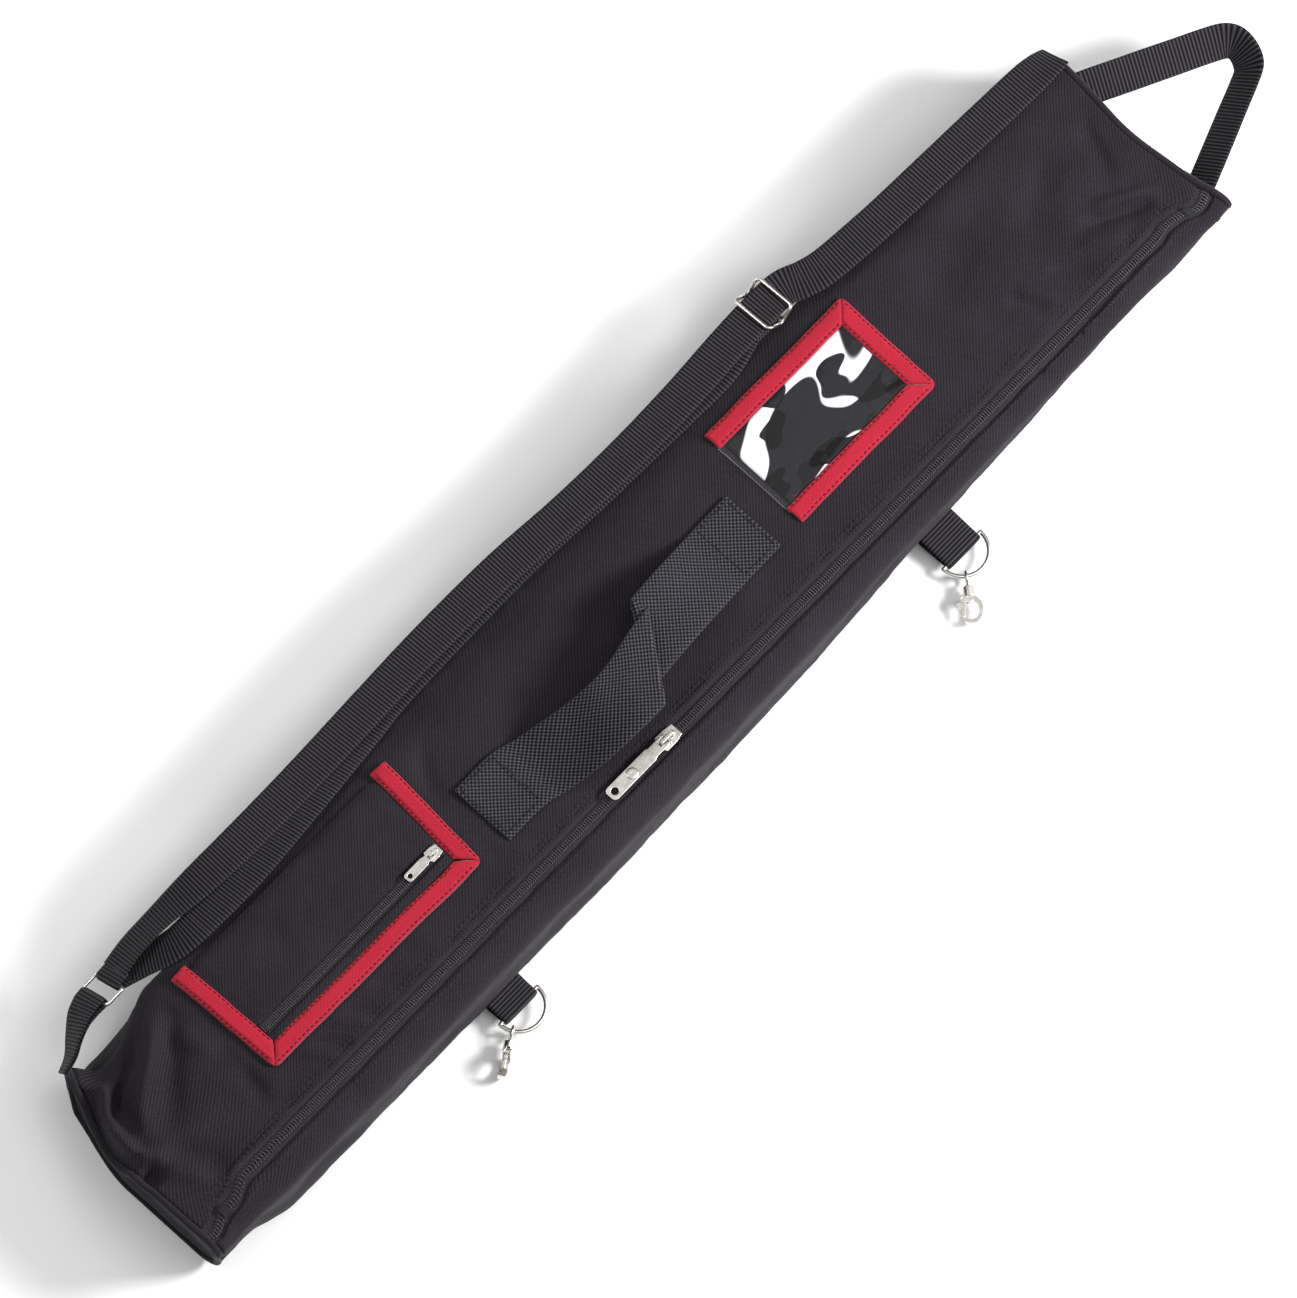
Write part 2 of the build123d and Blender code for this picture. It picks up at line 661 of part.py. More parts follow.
def make_snap_hook(place):
    x = tab_x[place]
    heading = math.radians(hook_heading[place])
    along = Vector(math.sin(heading), -math.cos(heading), 0)
    level = Vector(0, 0, 1).cross(along)
    centre = Vector(x, bar_y, tab_z)
    swivel = math.radians(hook_roll[place])
    face = Vector(0, 0, 1) * math.cos(swivel) + level * math.sin(swivel)
    hook_plane = Plane(origin=centre, x_dir=along, z_dir=face)
    across_plane = Plane(origin=centre, x_dir=level, z_dir=along)

    with BuildPart() as eye:
        with BuildSketch(Plane(origin=centre + along * (eye_centre + eye_radius),
                               x_dir=along, z_dir=(0, 0, 1))):
            Circle(eye_wire)
        revolve(axis=Axis(centre + along * eye_centre, level), revolution_arc=360)
        with BuildSketch(across_plane.offset(eye_centre + eye_radius)):
            Circle(post_radius)
        extrude(amount=collar_high + gap - eye_centre - eye_radius + 0.1)
        with BuildSketch(across_plane.offset(collar_high + gap)):
            Circle(post_radius + 0.7)
        extrude(amount=0.8)
    save(eye.part, f"{place}_swivel_eye")

    with BuildPart() as hook:
        with BuildSketch(across_plane.offset(collar_low)):
            Circle(post_radius + 1.7)
        extrude(amount=head_high + 1.6 - collar_low)
        with BuildSketch(hook_plane):
            with Locations((hook_centre, 0)):
                Ellipse(hook_length_radius, hook_width_radius)
                Ellipse(hook_length_radius - hook_bar, hook_width_radius - hook_bar,
                        mode=Mode.SUBTRACT)
            with Locations(((pivot_u + lever_tip_u) / 2 + 1.0, -hook_width_radius)):
                Rectangle(lever_tip_u - pivot_u + 2.0, 2 * hook_width_radius - 3.0,
                          mode=Mode.SUBTRACT)
            with Locations((pivot_u, pivot_v / 2)):
                RectangleRounded(4.0, abs(pivot_v) + 3.6, 1.6)
        extrude(amount=hook_thickness / 2, both=True)
        with BuildSketch(hook_plane):
            with Locations((pivot_u + 1.0, pivot_v - 1.2)):
                Rectangle(8.0, 7.0)
        extrude(amount=lever_slot / 2, both=True, mode=Mode.SUBTRACT)
        with BuildSketch(across_plane.offset(collar_low - 1)):
            Circle(post_radius + post_fit)
        extrude(amount=collar_high - collar_low + 1, mode=Mode.SUBTRACT)
        with BuildSketch(across_plane.offset(collar_high)):
            Circle(post_radius + 1.0)
        extrude(amount=head_high - collar_high, mode=Mode.SUBTRACT)
        with BuildSketch(hook_plane):
            with Locations((pivot_u, pivot_v)):
                Circle(pin_radius)
        extrude(amount=hook_thickness, both=True, mode=Mode.SUBTRACT)
    save(hook.part, f"{place}_snap_hook")

    with BuildPart() as pin:
        with BuildSketch(hook_plane):
            with Locations((pivot_u, pivot_v)):
                Circle(pin_radius)
        extrude(amount=hook_thickness / 2, both=True)
    save(pin.part, f"{place}_hook_pin")

    with BuildPart() as lever:
        with BuildSketch(hook_plane):
            with BuildLine():
                Polyline((pivot_u - 1.2, pivot_v + 0.6), (pivot_u + 0.4, pivot_v + 1.3),
                         (lever_tip_u, -hook_width_radius + 2.4),
                         (lever_tip_u, -hook_width_radius + 0.6),
                         (pivot_u + 4.6, pivot_v - 2.0), (pivot_u + 3.2, pivot_v - 4.4),
                         (pivot_u + 1.4, pivot_v - 4.0), (pivot_u + 0.6, pivot_v - 1.2),
                         (pivot_u - 1.0, pivot_v - 1.0), close=True)
            make_face()
            with Locations((pivot_u, pivot_v)):
                Circle(1.5)
                Circle(pin_radius + pin_fit, mode=Mode.SUBTRACT)
        extrude(amount=lever_thickness / 2, both=True)
    save(lever.part, f"{place}_hook_lever")


for place in ("upper", "lower"):
    make_side_tab(tab_x[place], f"{place}_side_tab")
    make_d_ring(tab_x[place], f"{place}_d_ring")
    make_snap_hook(place)
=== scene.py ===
import bpy
import math
import numpy as np
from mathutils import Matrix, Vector, noise


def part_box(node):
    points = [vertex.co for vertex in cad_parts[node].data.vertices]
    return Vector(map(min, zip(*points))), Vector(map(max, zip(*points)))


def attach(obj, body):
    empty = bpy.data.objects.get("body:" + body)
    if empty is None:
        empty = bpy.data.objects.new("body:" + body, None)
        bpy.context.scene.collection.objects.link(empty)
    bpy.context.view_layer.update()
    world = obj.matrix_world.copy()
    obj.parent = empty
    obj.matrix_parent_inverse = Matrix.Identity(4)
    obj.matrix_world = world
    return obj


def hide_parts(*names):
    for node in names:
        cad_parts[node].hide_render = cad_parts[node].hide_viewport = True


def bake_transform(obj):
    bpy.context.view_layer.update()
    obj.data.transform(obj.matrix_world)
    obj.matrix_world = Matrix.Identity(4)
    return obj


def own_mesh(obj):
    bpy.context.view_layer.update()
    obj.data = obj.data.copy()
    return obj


# Looks of a long, soft, zippered drum stick bag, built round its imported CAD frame.
# Shapes are worked out in millimetres in the CAD frame and written as metres.

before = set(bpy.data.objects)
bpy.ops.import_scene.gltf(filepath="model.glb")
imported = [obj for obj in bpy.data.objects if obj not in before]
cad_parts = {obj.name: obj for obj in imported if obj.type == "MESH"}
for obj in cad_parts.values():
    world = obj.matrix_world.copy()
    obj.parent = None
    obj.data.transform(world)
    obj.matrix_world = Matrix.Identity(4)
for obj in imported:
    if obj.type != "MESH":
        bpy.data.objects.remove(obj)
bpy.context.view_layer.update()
MM = 0.001


def corner_mm(node):
    """Lowest and highest corner of a CAD node, in millimetres."""
    low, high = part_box(node)
    return np.array(low) / MM, np.array(high) / MM


# ---------------------------------------------------------------- sizes from the frame
front_low, front_high = corner_mm("front_panel")
piping_low, piping_high = corner_mm("top_end_piping")
HALF_LENGTH = piping_high[0]
HALF_WIDTH = front_high[1]
TOP = front_high[2]
SHELL_HALF = front_high[0]
TAPE_TOP = corner_mm("main_zip_tape_front")[1][2]
PIPING = HALF_LENGTH - piping_low[0]
SLOT_FRONT = front_low[1]              # cloth edges either side of the long zipper
SLOT_GUSSET = corner_mm("main_zip_tape_gusset")[1][1] - 4.9
ZIP_Y = (SLOT_FRONT + SLOT_GUSSET) / 2

CLOTH = 1.5                            # thickness of the visible cloth shell
BOTTOM_FOLDS, OTHER_FOLDS = 1.75, 1.5  # how much deeper the listed folds are drawn
STEP = 2.0                             # spacing of the shell's rows along the bag


# ---------------------------------------------------------------- small maths
def smooth(low, high, value):
    """0 below low, 1 above high, smooth between; low may be above high."""
    t = np.clip((np.asarray(value, float) - low) / (high - low), 0, 1)
    return t * t * (3 - 2 * t)


def bump(value, centre, width):
    """1 at the centre, falling away smoothly over the width."""
    return np.exp(-((np.asarray(value, float) - centre) / width) ** 2)


def xyz(x, y, z):
    """Points from three coordinates, each an array or one number."""
    return np.stack(np.broadcast_arrays(x, y, z), -1).astype(float)


def unit(vectors):
    return vectors / np.linalg.norm(vectors, axis=-1, keepdims=True)


def fractal(points, scale, seed, octaves=3):
    """Smooth noise from -1 to 1 at each point."""
    shift = Vector((seed * 17.3, seed * 5.1, seed * 9.7))
    flat = np.asarray(points, float).reshape(-1, 3) / scale
    values = [noise.fractal(Vector(p) + shift, 1.0, 2.0, octaves) for p in flat]
    return np.array(values).reshape(np.asarray(points).shape[:-1])


def fold_line(x, y, start, end, width):
    """1 on the line from start to end on the front panel, falling away to each side."""
    start, end = np.array(start, float), np.array(end, float)
    along = end - start
    t = ((x - start[0]) * along[0] + (y - start[1]) * along[1]) / (along @ along)
    near = np.clip(t, 0, 1)
    away = np.hypot(x - start[0] - near * along[0], y - start[1] - near * along[1])
    taper = np.clip(np.minimum(t + 0.25, 1.25 - t) * 2.2, 0, 1)
    return np.exp(-(away / width) ** 2) * taper


# Folds pressed into the front panel: start x, y, end x, y, width, depth. The deep ones are at
# the bottom end, where the empty bag collapses, and the shallow ones at the top end.
FRONT_FOLDS = [
    # beside the bottom end seam: a pit along the seam and the folded ridge that hangs over it
    (-359, 48, -360, 2, 3.2, 6.0), (-351, 50, -355, 22, 2.6, -3.2), (-355, 22, -353, 0, 2.6, -3.4),
    (-353, 0, -347, -8, 2.8, -2.6), (-357, -6, -357, -14, 4.0, 4.5), (-346, 40, -348, 6, 4.0, 2.6),
    (-318, 46, -346, 10, 5.0, -2.6), (-330, 54, -352, 28, 4.0, 3.4), (-306, 42, -336, 2, 6.0, 2.2),
    (-310, 32, -306, 12, 5.0, -1.6), (-350, -14, -341, -28, 4.0, -2.0),
    (-342, -8, -334, -30, 5.0, 2.0),
    (-300, -4, -306, -24, 5.0, 1.6), (-296, 2, -298, -22, 5.0, -1.2),
    # diagonal creases below the pocket
    (-277, -20, -262, -36, 2.8, -1.5), (-270, -19, -255, -36, 2.8, 1.4),
    (-254, -21, -240, -35, 2.8, -1.4), (-247, -21, -233, -35, 2.8, 1.2),
    (-225, -22, -212, -34, 3.5, 1.0), (-196, -22, -186, -34, 3.5, -0.9),
    (-138, 20, -120, 44, 5.0, 1.4), (-134, -14, -122, -30, 4.0, -1.2), (96, -22, 112, -34, 4.0, 1.0),
    # the top end
    (308, -12, 336, -27, 3.6, 3.4), (318, -10, 345, -24, 3.2, -2.2), (300, -18, 316, -30, 3.5, -1.4),
    (252, -13, 262, -27, 3.2, 1.4), (259, -12, 269, -27, 3.0, -1.3), (278, -16, 292, -30, 3.5, 1.3),
    (286, 6, 318, 26, 9.0, 1.6), (335, -2, 346, 24, 5.0, 1.6), (225, 18, 285, 34, 12.0, 1.4),
]
# Buckles in the zipper side gusset: middle x and z, length, height, depth.
GUSSET_FOLDS = [(-300, 30, 26, 10, 4.0), (-215, 24, 34, 9, 2.4), (-120, 30, 48, 10, 1.8),
                (20, 26, 60, 10, 1.6), (110, 32, 30, 9, 2.0), (200, 26, 52, 10, 1.6),
                (288, 40, 30, 5, 2.2), (326, 46, 26, 4, -2.4)]
# The zipper side draws in towards the top end: x, and how far its lower part moves inward.
DRAWN_IN = [(-363, 2.6), (-300, 2.2), (-76, 2.6), (0, 3.4), (60, 4.8), (120, 8.5), (196, 11.0),
            (250, 13.0),
            (309, 15.0), (345, 16.5), (363, 15.0)]


def flat_zone(x, y):
    """1 where something rigid or flat lies on the front panel, so that it stays level."""
    window_low, window_high = corner_mm("window_binding")
    pocket_low, pocket_high = corner_mm("pocket_binding")
    window = (smooth(window_low[0] - 14, window_low[0], x)
              * smooth(window_high[0] + 14, window_high[0], x)
              * smooth(window_low[1] - 10, window_low[1], y))
    pocket = (smooth(pocket_low[0] - 14, pocket_low[0] + 2, x)
              * smooth(pocket_high[0] + 14, pocket_high[0], x)
              * smooth(pocket_low[1] - 9, pocket_low[1], y))
    chain = bump(y, ZIP_Y, 8.0) * smooth(SHELL_HALF, SHELL_HALF - 30, np.abs(x))
    return np.clip(window + pocket + chain, 0, 1)


def settle(points):
    """How the soft bag differs from its straight-edged shape: moves points, in millimetres."""
    p = np.array(points, float)
    x, y, z = p[..., 0].copy(), p[..., 1].copy(), p[..., 2].copy()
    upper = smooth(18, 52, z)
    top_end = smooth(250, 345, x)
    low_end = smooth(-235, -345, x)
    ends = np.maximum(top_end, low_end)
    loose = 1 - flat_zone(x, y)

    # the front panel: folds, broad sag and fine unevenness
    down = np.zeros_like(x)
    for x0, y0, x1, y1, width, depth in FRONT_FOLDS:
        strength = BOTTOM_FOLDS if x0 < -300 else OTHER_FOLDS
        down += strength * depth * fold_line(x, y, (x0, y0), (x1, y1), width)
    broad = fractal(xyz(x, y, 0), 75, 1)
    fine = fractal(xyz(x, y, 0), 24, 2)
    down += (1.1 + 1.1 * broad + 0.45 * fine) * (0.35 + 0.65 * ends)
    down *= loose
    down += 7.0 * smooth(-318, -366, x) * smooth(-30, 40, y)
    down += 2.2 * smooth(42, 60, y) * (1 - top_end)
    p[..., 2] -= down * upper * smooth(-62, -52, y)

    # the gusset on the zipper side: full along the bag, pinched just before its corners
    side = smooth(-30, -56, y)
    belly = np.sin(np.clip(z / TOP, 0, 1) * math.pi)
    bulge = 3.4 * belly - 6.0 * smooth(-322, -344, x) * smooth(56, 30, z)
    for centre_x, centre_z, length, height, depth in GUSSET_FOLDS:
        bulge -= depth * bump(x, centre_x, length) * bump(z, centre_z, height)
    drawn_x, drawn_in = zip(*DRAWN_IN)
    bulge -= np.interp(x, drawn_x, drawn_in) * (0.15 + 0.85 * smooth(59, 34, z))
    ripple = fractal(xyz(x, 0, z * 1.5), 42, 5)
    p[..., 1] -= (bulge + 1.1 * ripple * belly) * side

    # the gusset on the strap side sags inward, most of all beside the bottom corner
    strap_side = smooth(30, 58, y)
    strap_ripple = fractal(xyz(x, 50, z * 1.5), 48, 8)
    p[..., 1] -= (2.0 + 1.2 * strap_ripple - 2.0 * belly) * strap_side * belly
    under_strap = smooth(-190, -130, x) * smooth(250, 205, x)
    p[..., 1] += 6.5 * under_strap * smooth(44, 62, y) * smooth(4, 24, z) * smooth(58, 46, z)
    corner = smooth(-298, -340, x) * (1 - smooth(-350, -361, x))
    p[..., 1] -= 11.0 * corner * smooth(20, 60, y) * smooth(6, 44, z)
    p[..., 2] -= 5.0 * corner * smooth(30, 58, y) * smooth(30, 52, z)

    # the zipper bows out before both end seams
    chain = bump(y, ZIP_Y, 14.0) * smooth(44, 54, z)
    bow = 5.5 * bump(x, 352, 8) + 5.6 * smooth(-308, -347, x)
    bow += 5.0 * bump(x, -356, 6) - 0.8 * smooth(150, 290, x) * smooth(338, 322, x)
    p[..., 1] -= bow * chain

    # where the slider runs, the chain stays straight and level
    held = (smooth(9.5, 6.5, np.abs(y - ZIP_Y)) * smooth(47, 52, z)
            * smooth(-341, -331, x) * smooth(335, 325, x))[..., None]
    p += (xyz(x, y, z) - p) * held

    # the bottom end is skewed: it reaches further out towards the zipper side
    reach = smooth(-300, -363, x)
    p[..., 0] -= reach * ((12.5 + 5.0 * smooth(8, 54, z)) * smooth(66, 5, y)
                          - 4.0 * smooth(50, 63, y))
    p[..., 0] += smooth(335, 363, x) * (4.0 * smooth(-25, -58, y) - 4.0 * bump(y, 5, 30))
    return p


# ---------------------------------------------------------------- mesh builders
def new_mesh(name, vertices, faces, cloth):
    """A mesh object from points in millimetres. cloth is each point's place on the flat
    material, in millimetres, which the weaves are drawn in."""
    mesh = bpy.data.meshes.new(name)
    mesh.from_pydata((np.asarray(vertices, float) * MM).tolist(), [], faces)
    mesh.validate()
    mesh.polygons.foreach_set("use_smooth", [True] * len(mesh.polygons))
    layer = mesh.attributes.new("cloth", "FLOAT_VECTOR", "POINT")
    layer.data.foreach_set("vector", np.asarray(cloth, np.float32).reshape(-1))
    mesh.update()
    piece = bpy.data.objects.new(name, mesh)
    bpy.context.scene.collection.objects.link(piece)
    return piece


def grid_faces(rows, columns, close_rows=False, close_columns=False, start=0):
    """Quads of a grid of rows x columns points, in one winding."""
    faces = []
    for r in range(rows if close_rows else rows - 1):
        for c in range(columns if close_columns else columns - 1):
            r2, c2 = (r + 1) % rows, (c + 1) % columns
            faces.append((start + r * columns + c, start + r2 * columns + c,
                          start + r2 * columns + c2, start + r * columns + c2))
    return faces


def grid_normals(points):
    """Unit normals of a grid of points, by differences along its rows and columns."""
    along = np.gradient(points, axis=0)
    across = np.gradient(points, axis=1)
    normal = np.cross(along, across)
    return normal / np.maximum(np.linalg.norm(normal, axis=-1, keepdims=True), 1e-9)


def arc_lengths(points, axis):
    """Length along a grid's rows or columns, from its first line."""
    steps = np.linalg.norm(np.diff(points, axis=axis), axis=-1)
    zero = np.zeros_like(np.take(steps, [0], axis=axis))
    return np.concatenate([zero, np.cumsum(steps, axis=axis)], axis=axis)


def closed_sheet(name, front, back, place):
    """Closed cloth from the grids of its two faces. place is each point's place on the cloth."""
    rows, columns = front.shape[:2]
    count = rows * columns
    faces = grid_faces(rows, columns)
    faces += [tuple(reversed(f)) for f in grid_faces(rows, columns, start=count)]
    rim = ([r * columns for r in range(rows)]
           + [(rows - 1) * columns + c for c in range(1, columns)]
           + [r * columns + columns - 1 for r in range(rows - 2, -1, -1)]
           + [c for c in range(columns - 2, 0, -1)])
    faces += [(b, a, a + count, b + count) for a, b in zip(rim, rim[1:] + rim[:1])]
    return new_mesh(name, np.concatenate([front.reshape(-1, 3), back.reshape(-1, 3)]), faces,
                    np.concatenate([place.reshape(-1, 3)] * 2))


def solid_sheet(name, outer, thickness, cut=None):
    """Closed cloth: a grid of outer points, and the same grid set back by the thickness. The
    weave follows cut, the same grid before the cloth settled."""
    cut = outer if cut is None else cut
    return closed_sheet(name, outer, outer - grid_normals(outer) * thickness,
                        xyz(arc_lengths(cut, 0), arc_lengths(cut, 1), 0))


def tube(name, centres, radius, sides=10, closed=False):
    """Round tube along a path, without twist."""
    centres = np.asarray(centres, float)
    count = len(centres)
    if closed:
        tangent = np.roll(centres, -1, 0) - np.roll(centres, 1, 0)
    else:
        tangent = np.gradient(centres, axis=0)
    tangent = unit(tangent)
    radii = np.broadcast_to(np.asarray(radius, float), (count,))
    guide = np.array([0.37, 0.21, 0.9])
    side = unit(np.cross(tangent, guide))
    up = np.cross(side, tangent)
    angle = np.arange(sides) * 2 * math.pi / sides
    ring = (side[:, None] * np.cos(angle)[None, :, None]
            + up[:, None] * np.sin(angle)[None, :, None])
    points = centres[:, None] + ring * radii[:, None, None]
    length = arc_lengths(centres, 0)
    place = np.zeros((count, sides, 3))
    place[..., 0] = length[:, None]
    place[..., 1] = angle[None] * np.max(radii)
    faces = grid_faces(count, sides, close_rows=closed, close_columns=True)
    if not closed:
        faces.append(tuple(range(sides)))
        faces.append(tuple((count - 1) * sides + s for s in reversed(range(sides))))
    return new_mesh(name, points.reshape(-1, 3), faces, place.reshape(-1, 3))


def smooth_path(points, spacing):
    """Catmull-Rom curve through given stations (any columns), evenly spaced."""
    points = np.asarray(points, float)
    ends = np.vstack([2 * points[0] - points[1], points, 2 * points[-1] - points[-2]])
    dense = []
    for i in range(1, len(ends) - 2):
        p0, p1, p2, p3 = ends[i - 1:i + 3]
        for t in np.linspace(0, 1, 24, endpoint=False):
            dense.append(0.5 * (2 * p1 + (p2 - p0) * t + (2 * p0 - 5 * p1 + 4 * p2 - p3) * t ** 2
                                + (3 * p1 - p0 - 3 * p2 + p3) * t ** 3))
    dense = np.array(dense + [points[-1]])
    length = arc_lengths(dense[:, :3], 0)
    count = max(3, int(round(length[-1] / spacing)) + 1)
    wanted = np.linspace(0, length[-1], count)
    return np.stack([np.interp(wanted, length, dense[:, k]) for k in range(dense.shape[1])], 1)


def webbing(name, centres, across, width, thickness, pattern, columns=16, cup=0.0, crush=None):
    """Woven strap along a path. across is its width direction at each point; pattern(s, w)
    gives the height of the yarns at s along and w across; cup hollows it; both in mm."""
    centres = np.asarray(centres, float)
    rows = len(centres)
    tangent = unit(np.gradient(centres, axis=0))
    across = np.asarray(across, float)
    across = unit(across - tangent * np.sum(across * tangent, 1, keepdims=True))
    normal = np.cross(tangent, across)
    length = arc_lengths(centres, 0)
    widths = np.broadcast_to(np.asarray(width, float), (rows,))
    w = np.linspace(-1, 1, columns)
    rim = np.sqrt(np.clip(1 - np.abs(w) ** 7, 0.06, 1))
    loops, places = [], []
    for face in (1, -1):
        order = w if face > 0 else w[::-1]
        edge = rim if face > 0 else rim[::-1]
        half = widths[:, None] / 2 * order[None]
        height = face * thickness / 2 * edge[None] + cup * (order[None] ** 2)
        height = height + face * pattern(length[:, None], half) * edge[None]
        if crush is not None:
            height = height + crush(length[:, None], half)
        loops.append(centres[:, None] + across[:, None] * half[..., None]
                     + normal[:, None] * height[..., None])
        places.append(np.stack([np.broadcast_to(length[:, None], half.shape),
                                half + (0 if face > 0 else 100), 0 * half], -1))
    points = np.concatenate(loops, 1)
    place = np.concatenate(places, 1)
    around = points.shape[1]
    faces = grid_faces(rows, around, close_columns=True)
    for first, flip in ((0, False), ((rows - 1) * around, True)):
        for c in range(columns - 1):
            quad = (first + c, first + c + 1, first + around - 2 - c, first + around - 1 - c)
            faces.append(tuple(reversed(quad)) if flip else quad)
    return new_mesh(name, points.reshape(-1, 3), faces, place.reshape(-1, 3))


def ribs(pitch, depth):
    """Crosswise ribs of a strap's filling yarns."""
    def height(s, w):
        return depth * np.abs(np.sin(math.pi * s / pitch)) ** 0.7 - depth / 2 + 0 * w
    return height


class Threads:
    """Collects stitches, each a short fat thread lying on the cloth, into one piece."""

    def __init__(self):
        self.vertices, self.faces, self.cloth = [], [], []

    def stitch(self, start, end, up, radius):
        start, end, up = (np.asarray(v, float) for v in (start, end, up))
        along = end - start
        length = np.linalg.norm(along)
        if length < 1e-6:
            return
        along = along / length
        side = np.cross(along, up)
        side /= np.linalg.norm(side)
        base = len(self.vertices)
        sides = 6
        for t, r, lift in ((0.0, 0.35, -0.5), (0.18, 0.95, 0.15), (0.5, 1.0, 0.3),
                           (0.82, 0.95, 0.15), (1.0, 0.35, -0.5)):
            centre = start + along * length * t + up * radius * lift
            for k in range(sides):
                angle = 2 * math.pi * k / sides
                offset = side * math.cos(angle) + up * math.sin(angle)
                self.vertices.append(centre + offset * radius * r)
                self.cloth.append((t * length, angle * radius, 0))
        for r in range(4):
            for k in range(sides):
                k2 = (k + 1) % sides
                self.faces.append((base + r * sides + k, base + r * sides + k2,
                                   base + (r + 1) * sides + k2, base + (r + 1) * sides + k))
        self.faces.append(tuple(base + k for k in reversed(range(sides))))
        self.faces.append(tuple(base + 4 * sides + k for k in range(sides)))

    def row(self, points, normals, pitch=3.2, share=0.72, radius=0.24):
        """A row of stitches along a path on the cloth."""
        points = np.asarray(points, float)
        normals = np.broadcast_to(np.asarray(normals, float), points.shape)
        length = arc_lengths(points, 0)
        count = int(length[-1] / pitch)

        def at(values, s):
            return np.array([np.interp(s, length, values[:, k]) for k in range(3)])
        for i in range(count):
            s0 = (i + 0.5 - share / 2) * pitch
            s1 = (i + 0.5 + share / 2) * pitch
            up = at(normals, (s0 + s1) / 2)
            up /= np.linalg.norm(up)
            self.stitch(at(points, s0), at(points, s1), up, radius)

    def piece(self, name):
        return new_mesh(name, np.array(self.vertices), self.faces, np.array(self.cloth))


# ---------------------------------------------------------------- materials
def node_of(tree, kind, **settings):
    made = tree.nodes.new(kind)
    for key, value in settings.items():
        setattr(made, key, value)
    return made


def base_material(name, roughness, metallic=0.0, sheen=0.0, specular=0.5):
    material = bpy.data.materials.new(name)
    material.use_nodes = True
    tree = material.node_tree
    shader = tree.nodes["Principled BSDF"]
    shader.inputs["Roughness"].default_value = roughness
    shader.inputs["Metallic"].default_value = metallic
    shader.inputs["Sheen Weight"].default_value = sheen
    shader.inputs["Specular IOR Level"].default_value = specular
    return material, tree, shader


def math_node(tree, operation, first, second=None, clamp=False):
    made = node_of(tree, "ShaderNodeMath", operation=operation, use_clamp=clamp)
    for socket, value in zip(made.inputs, (first, second)):
        if value is None:
            continue
        if isinstance(value, (int, float)):
            socket.default_value = value
        else:
            tree.links.new(value, socket)
    return made.outputs[0]


def times(tree, first, second):
    return math_node(tree, "MULTIPLY", first, second)


def plus(tree, first, second):
    return math_node(tree, "ADD", first, second)


def scaled(tree, value, factor, offset):
    """value times factor plus offset."""
    made = math_node(tree, "MULTIPLY_ADD", value, factor)
    made.node.inputs[2].default_value = offset
    return made


def cloth_place(tree):
    """Separate X and Y of a point's place on the flat cloth, in millimetres."""
    attribute = node_of(tree, "ShaderNodeAttribute", attribute_name="cloth")
    split = node_of(tree, "ShaderNodeSeparateXYZ")
    tree.links.new(attribute.outputs["Vector"], split.inputs[0])
    return attribute.outputs["Vector"], split.outputs["X"], split.outputs["Y"]


def object_place(tree):
    coordinates = node_of(tree, "ShaderNodeTexCoord")
    return coordinates.outputs["Object"]


def wave_of(tree, value, pitch):
    """A sine of the value, from 0 to 1, once every pitch millimetres."""
    sine = math_node(tree, "SINE", times(tree, value, 2 * math.pi / pitch))
    return plus(tree, times(tree, sine, 0.5), 0.5)


def noise_of(tree, vector, scale, detail=3.0, roughness=0.55):
    made = node_of(tree, "ShaderNodeTexNoise")
    made.inputs["Scale"].default_value = scale
    made.inputs["Detail"].default_value = detail
    made.inputs["Roughness"].default_value = roughness
    tree.links.new(vector, made.inputs["Vector"])
    return made.outputs["Fac"]


def ramp_of(tree, value, stops):
    """Colour ramp through (position, linear colour) stops."""
    made = node_of(tree, "ShaderNodeValToRGB")
    tree.links.new(value, made.inputs[0])
    elements = made.color_ramp.elements
    while len(elements) < len(stops):
        elements.new(0.5)
    for element, (position, colour) in zip(elements, stops):
        element.position = position
        element.color = (*colour, 1)
    return made.outputs["Color"]


def bump_into(tree, shader, height, strength, distance):
    made = node_of(tree, "ShaderNodeBump")
    made.inputs["Strength"].default_value = strength
    made.inputs["Distance"].default_value = distance
    tree.links.new(height, made.inputs["Height"])
    tree.links.new(made.outputs["Normal"], shader.inputs["Normal"])


def woven(name, dark, light, pitch, roughness=0.85, sheen=0.1, diagonal=True, depth=0.00025,
          fuzz=0.35):
    """Fine woven cloth: crossing yarns or a diagonal twill, with slubs and broad clouds of painted
    shade.
    """
    material, tree, shader = base_material(name, roughness, sheen=sheen, specular=0.16)
    vector, along, across = cloth_place(tree)
    if diagonal:
        twill = math_node(tree, "SUBTRACT", along, across)
        first = wave_of(tree, twill, pitch * 1.414)
        second = wave_of(tree, plus(tree, along, across), pitch * 0.55)
    else:
        first = wave_of(tree, along, pitch)
        second = wave_of(tree, across, pitch)
    weave = times(tree, first, second)
    slub = noise_of(tree, vector, 0.9, 2.0)
    # broad clouds of painted shade, some 30 mm across, lighten and darken the cloth's tone
    cloud = noise_of(tree, vector, 0.03, 3.0)
    mixed = times(tree, weave, 0.55)
    speckle = times(tree, slub, fuzz)
    mixed = plus(tree, mixed, speckle)
    tone = plus(tree, mixed, times(tree, cloud, 0.25))
    colour = ramp_of(tree, tone, [(0.15, dark), (0.95, light)])
    tree.links.new(colour, shader.inputs["Base Color"])
    shine = scaled(tree, slub, -0.12, roughness + 0.06)
    tree.links.new(shine, shader.inputs["Roughness"])
    height = plus(tree, weave, times(tree, slub, 0.6))
    bump_into(tree, shader, height, 0.55, depth)
    shader.inputs["Sheen Roughness"].default_value = 0.45
    return material


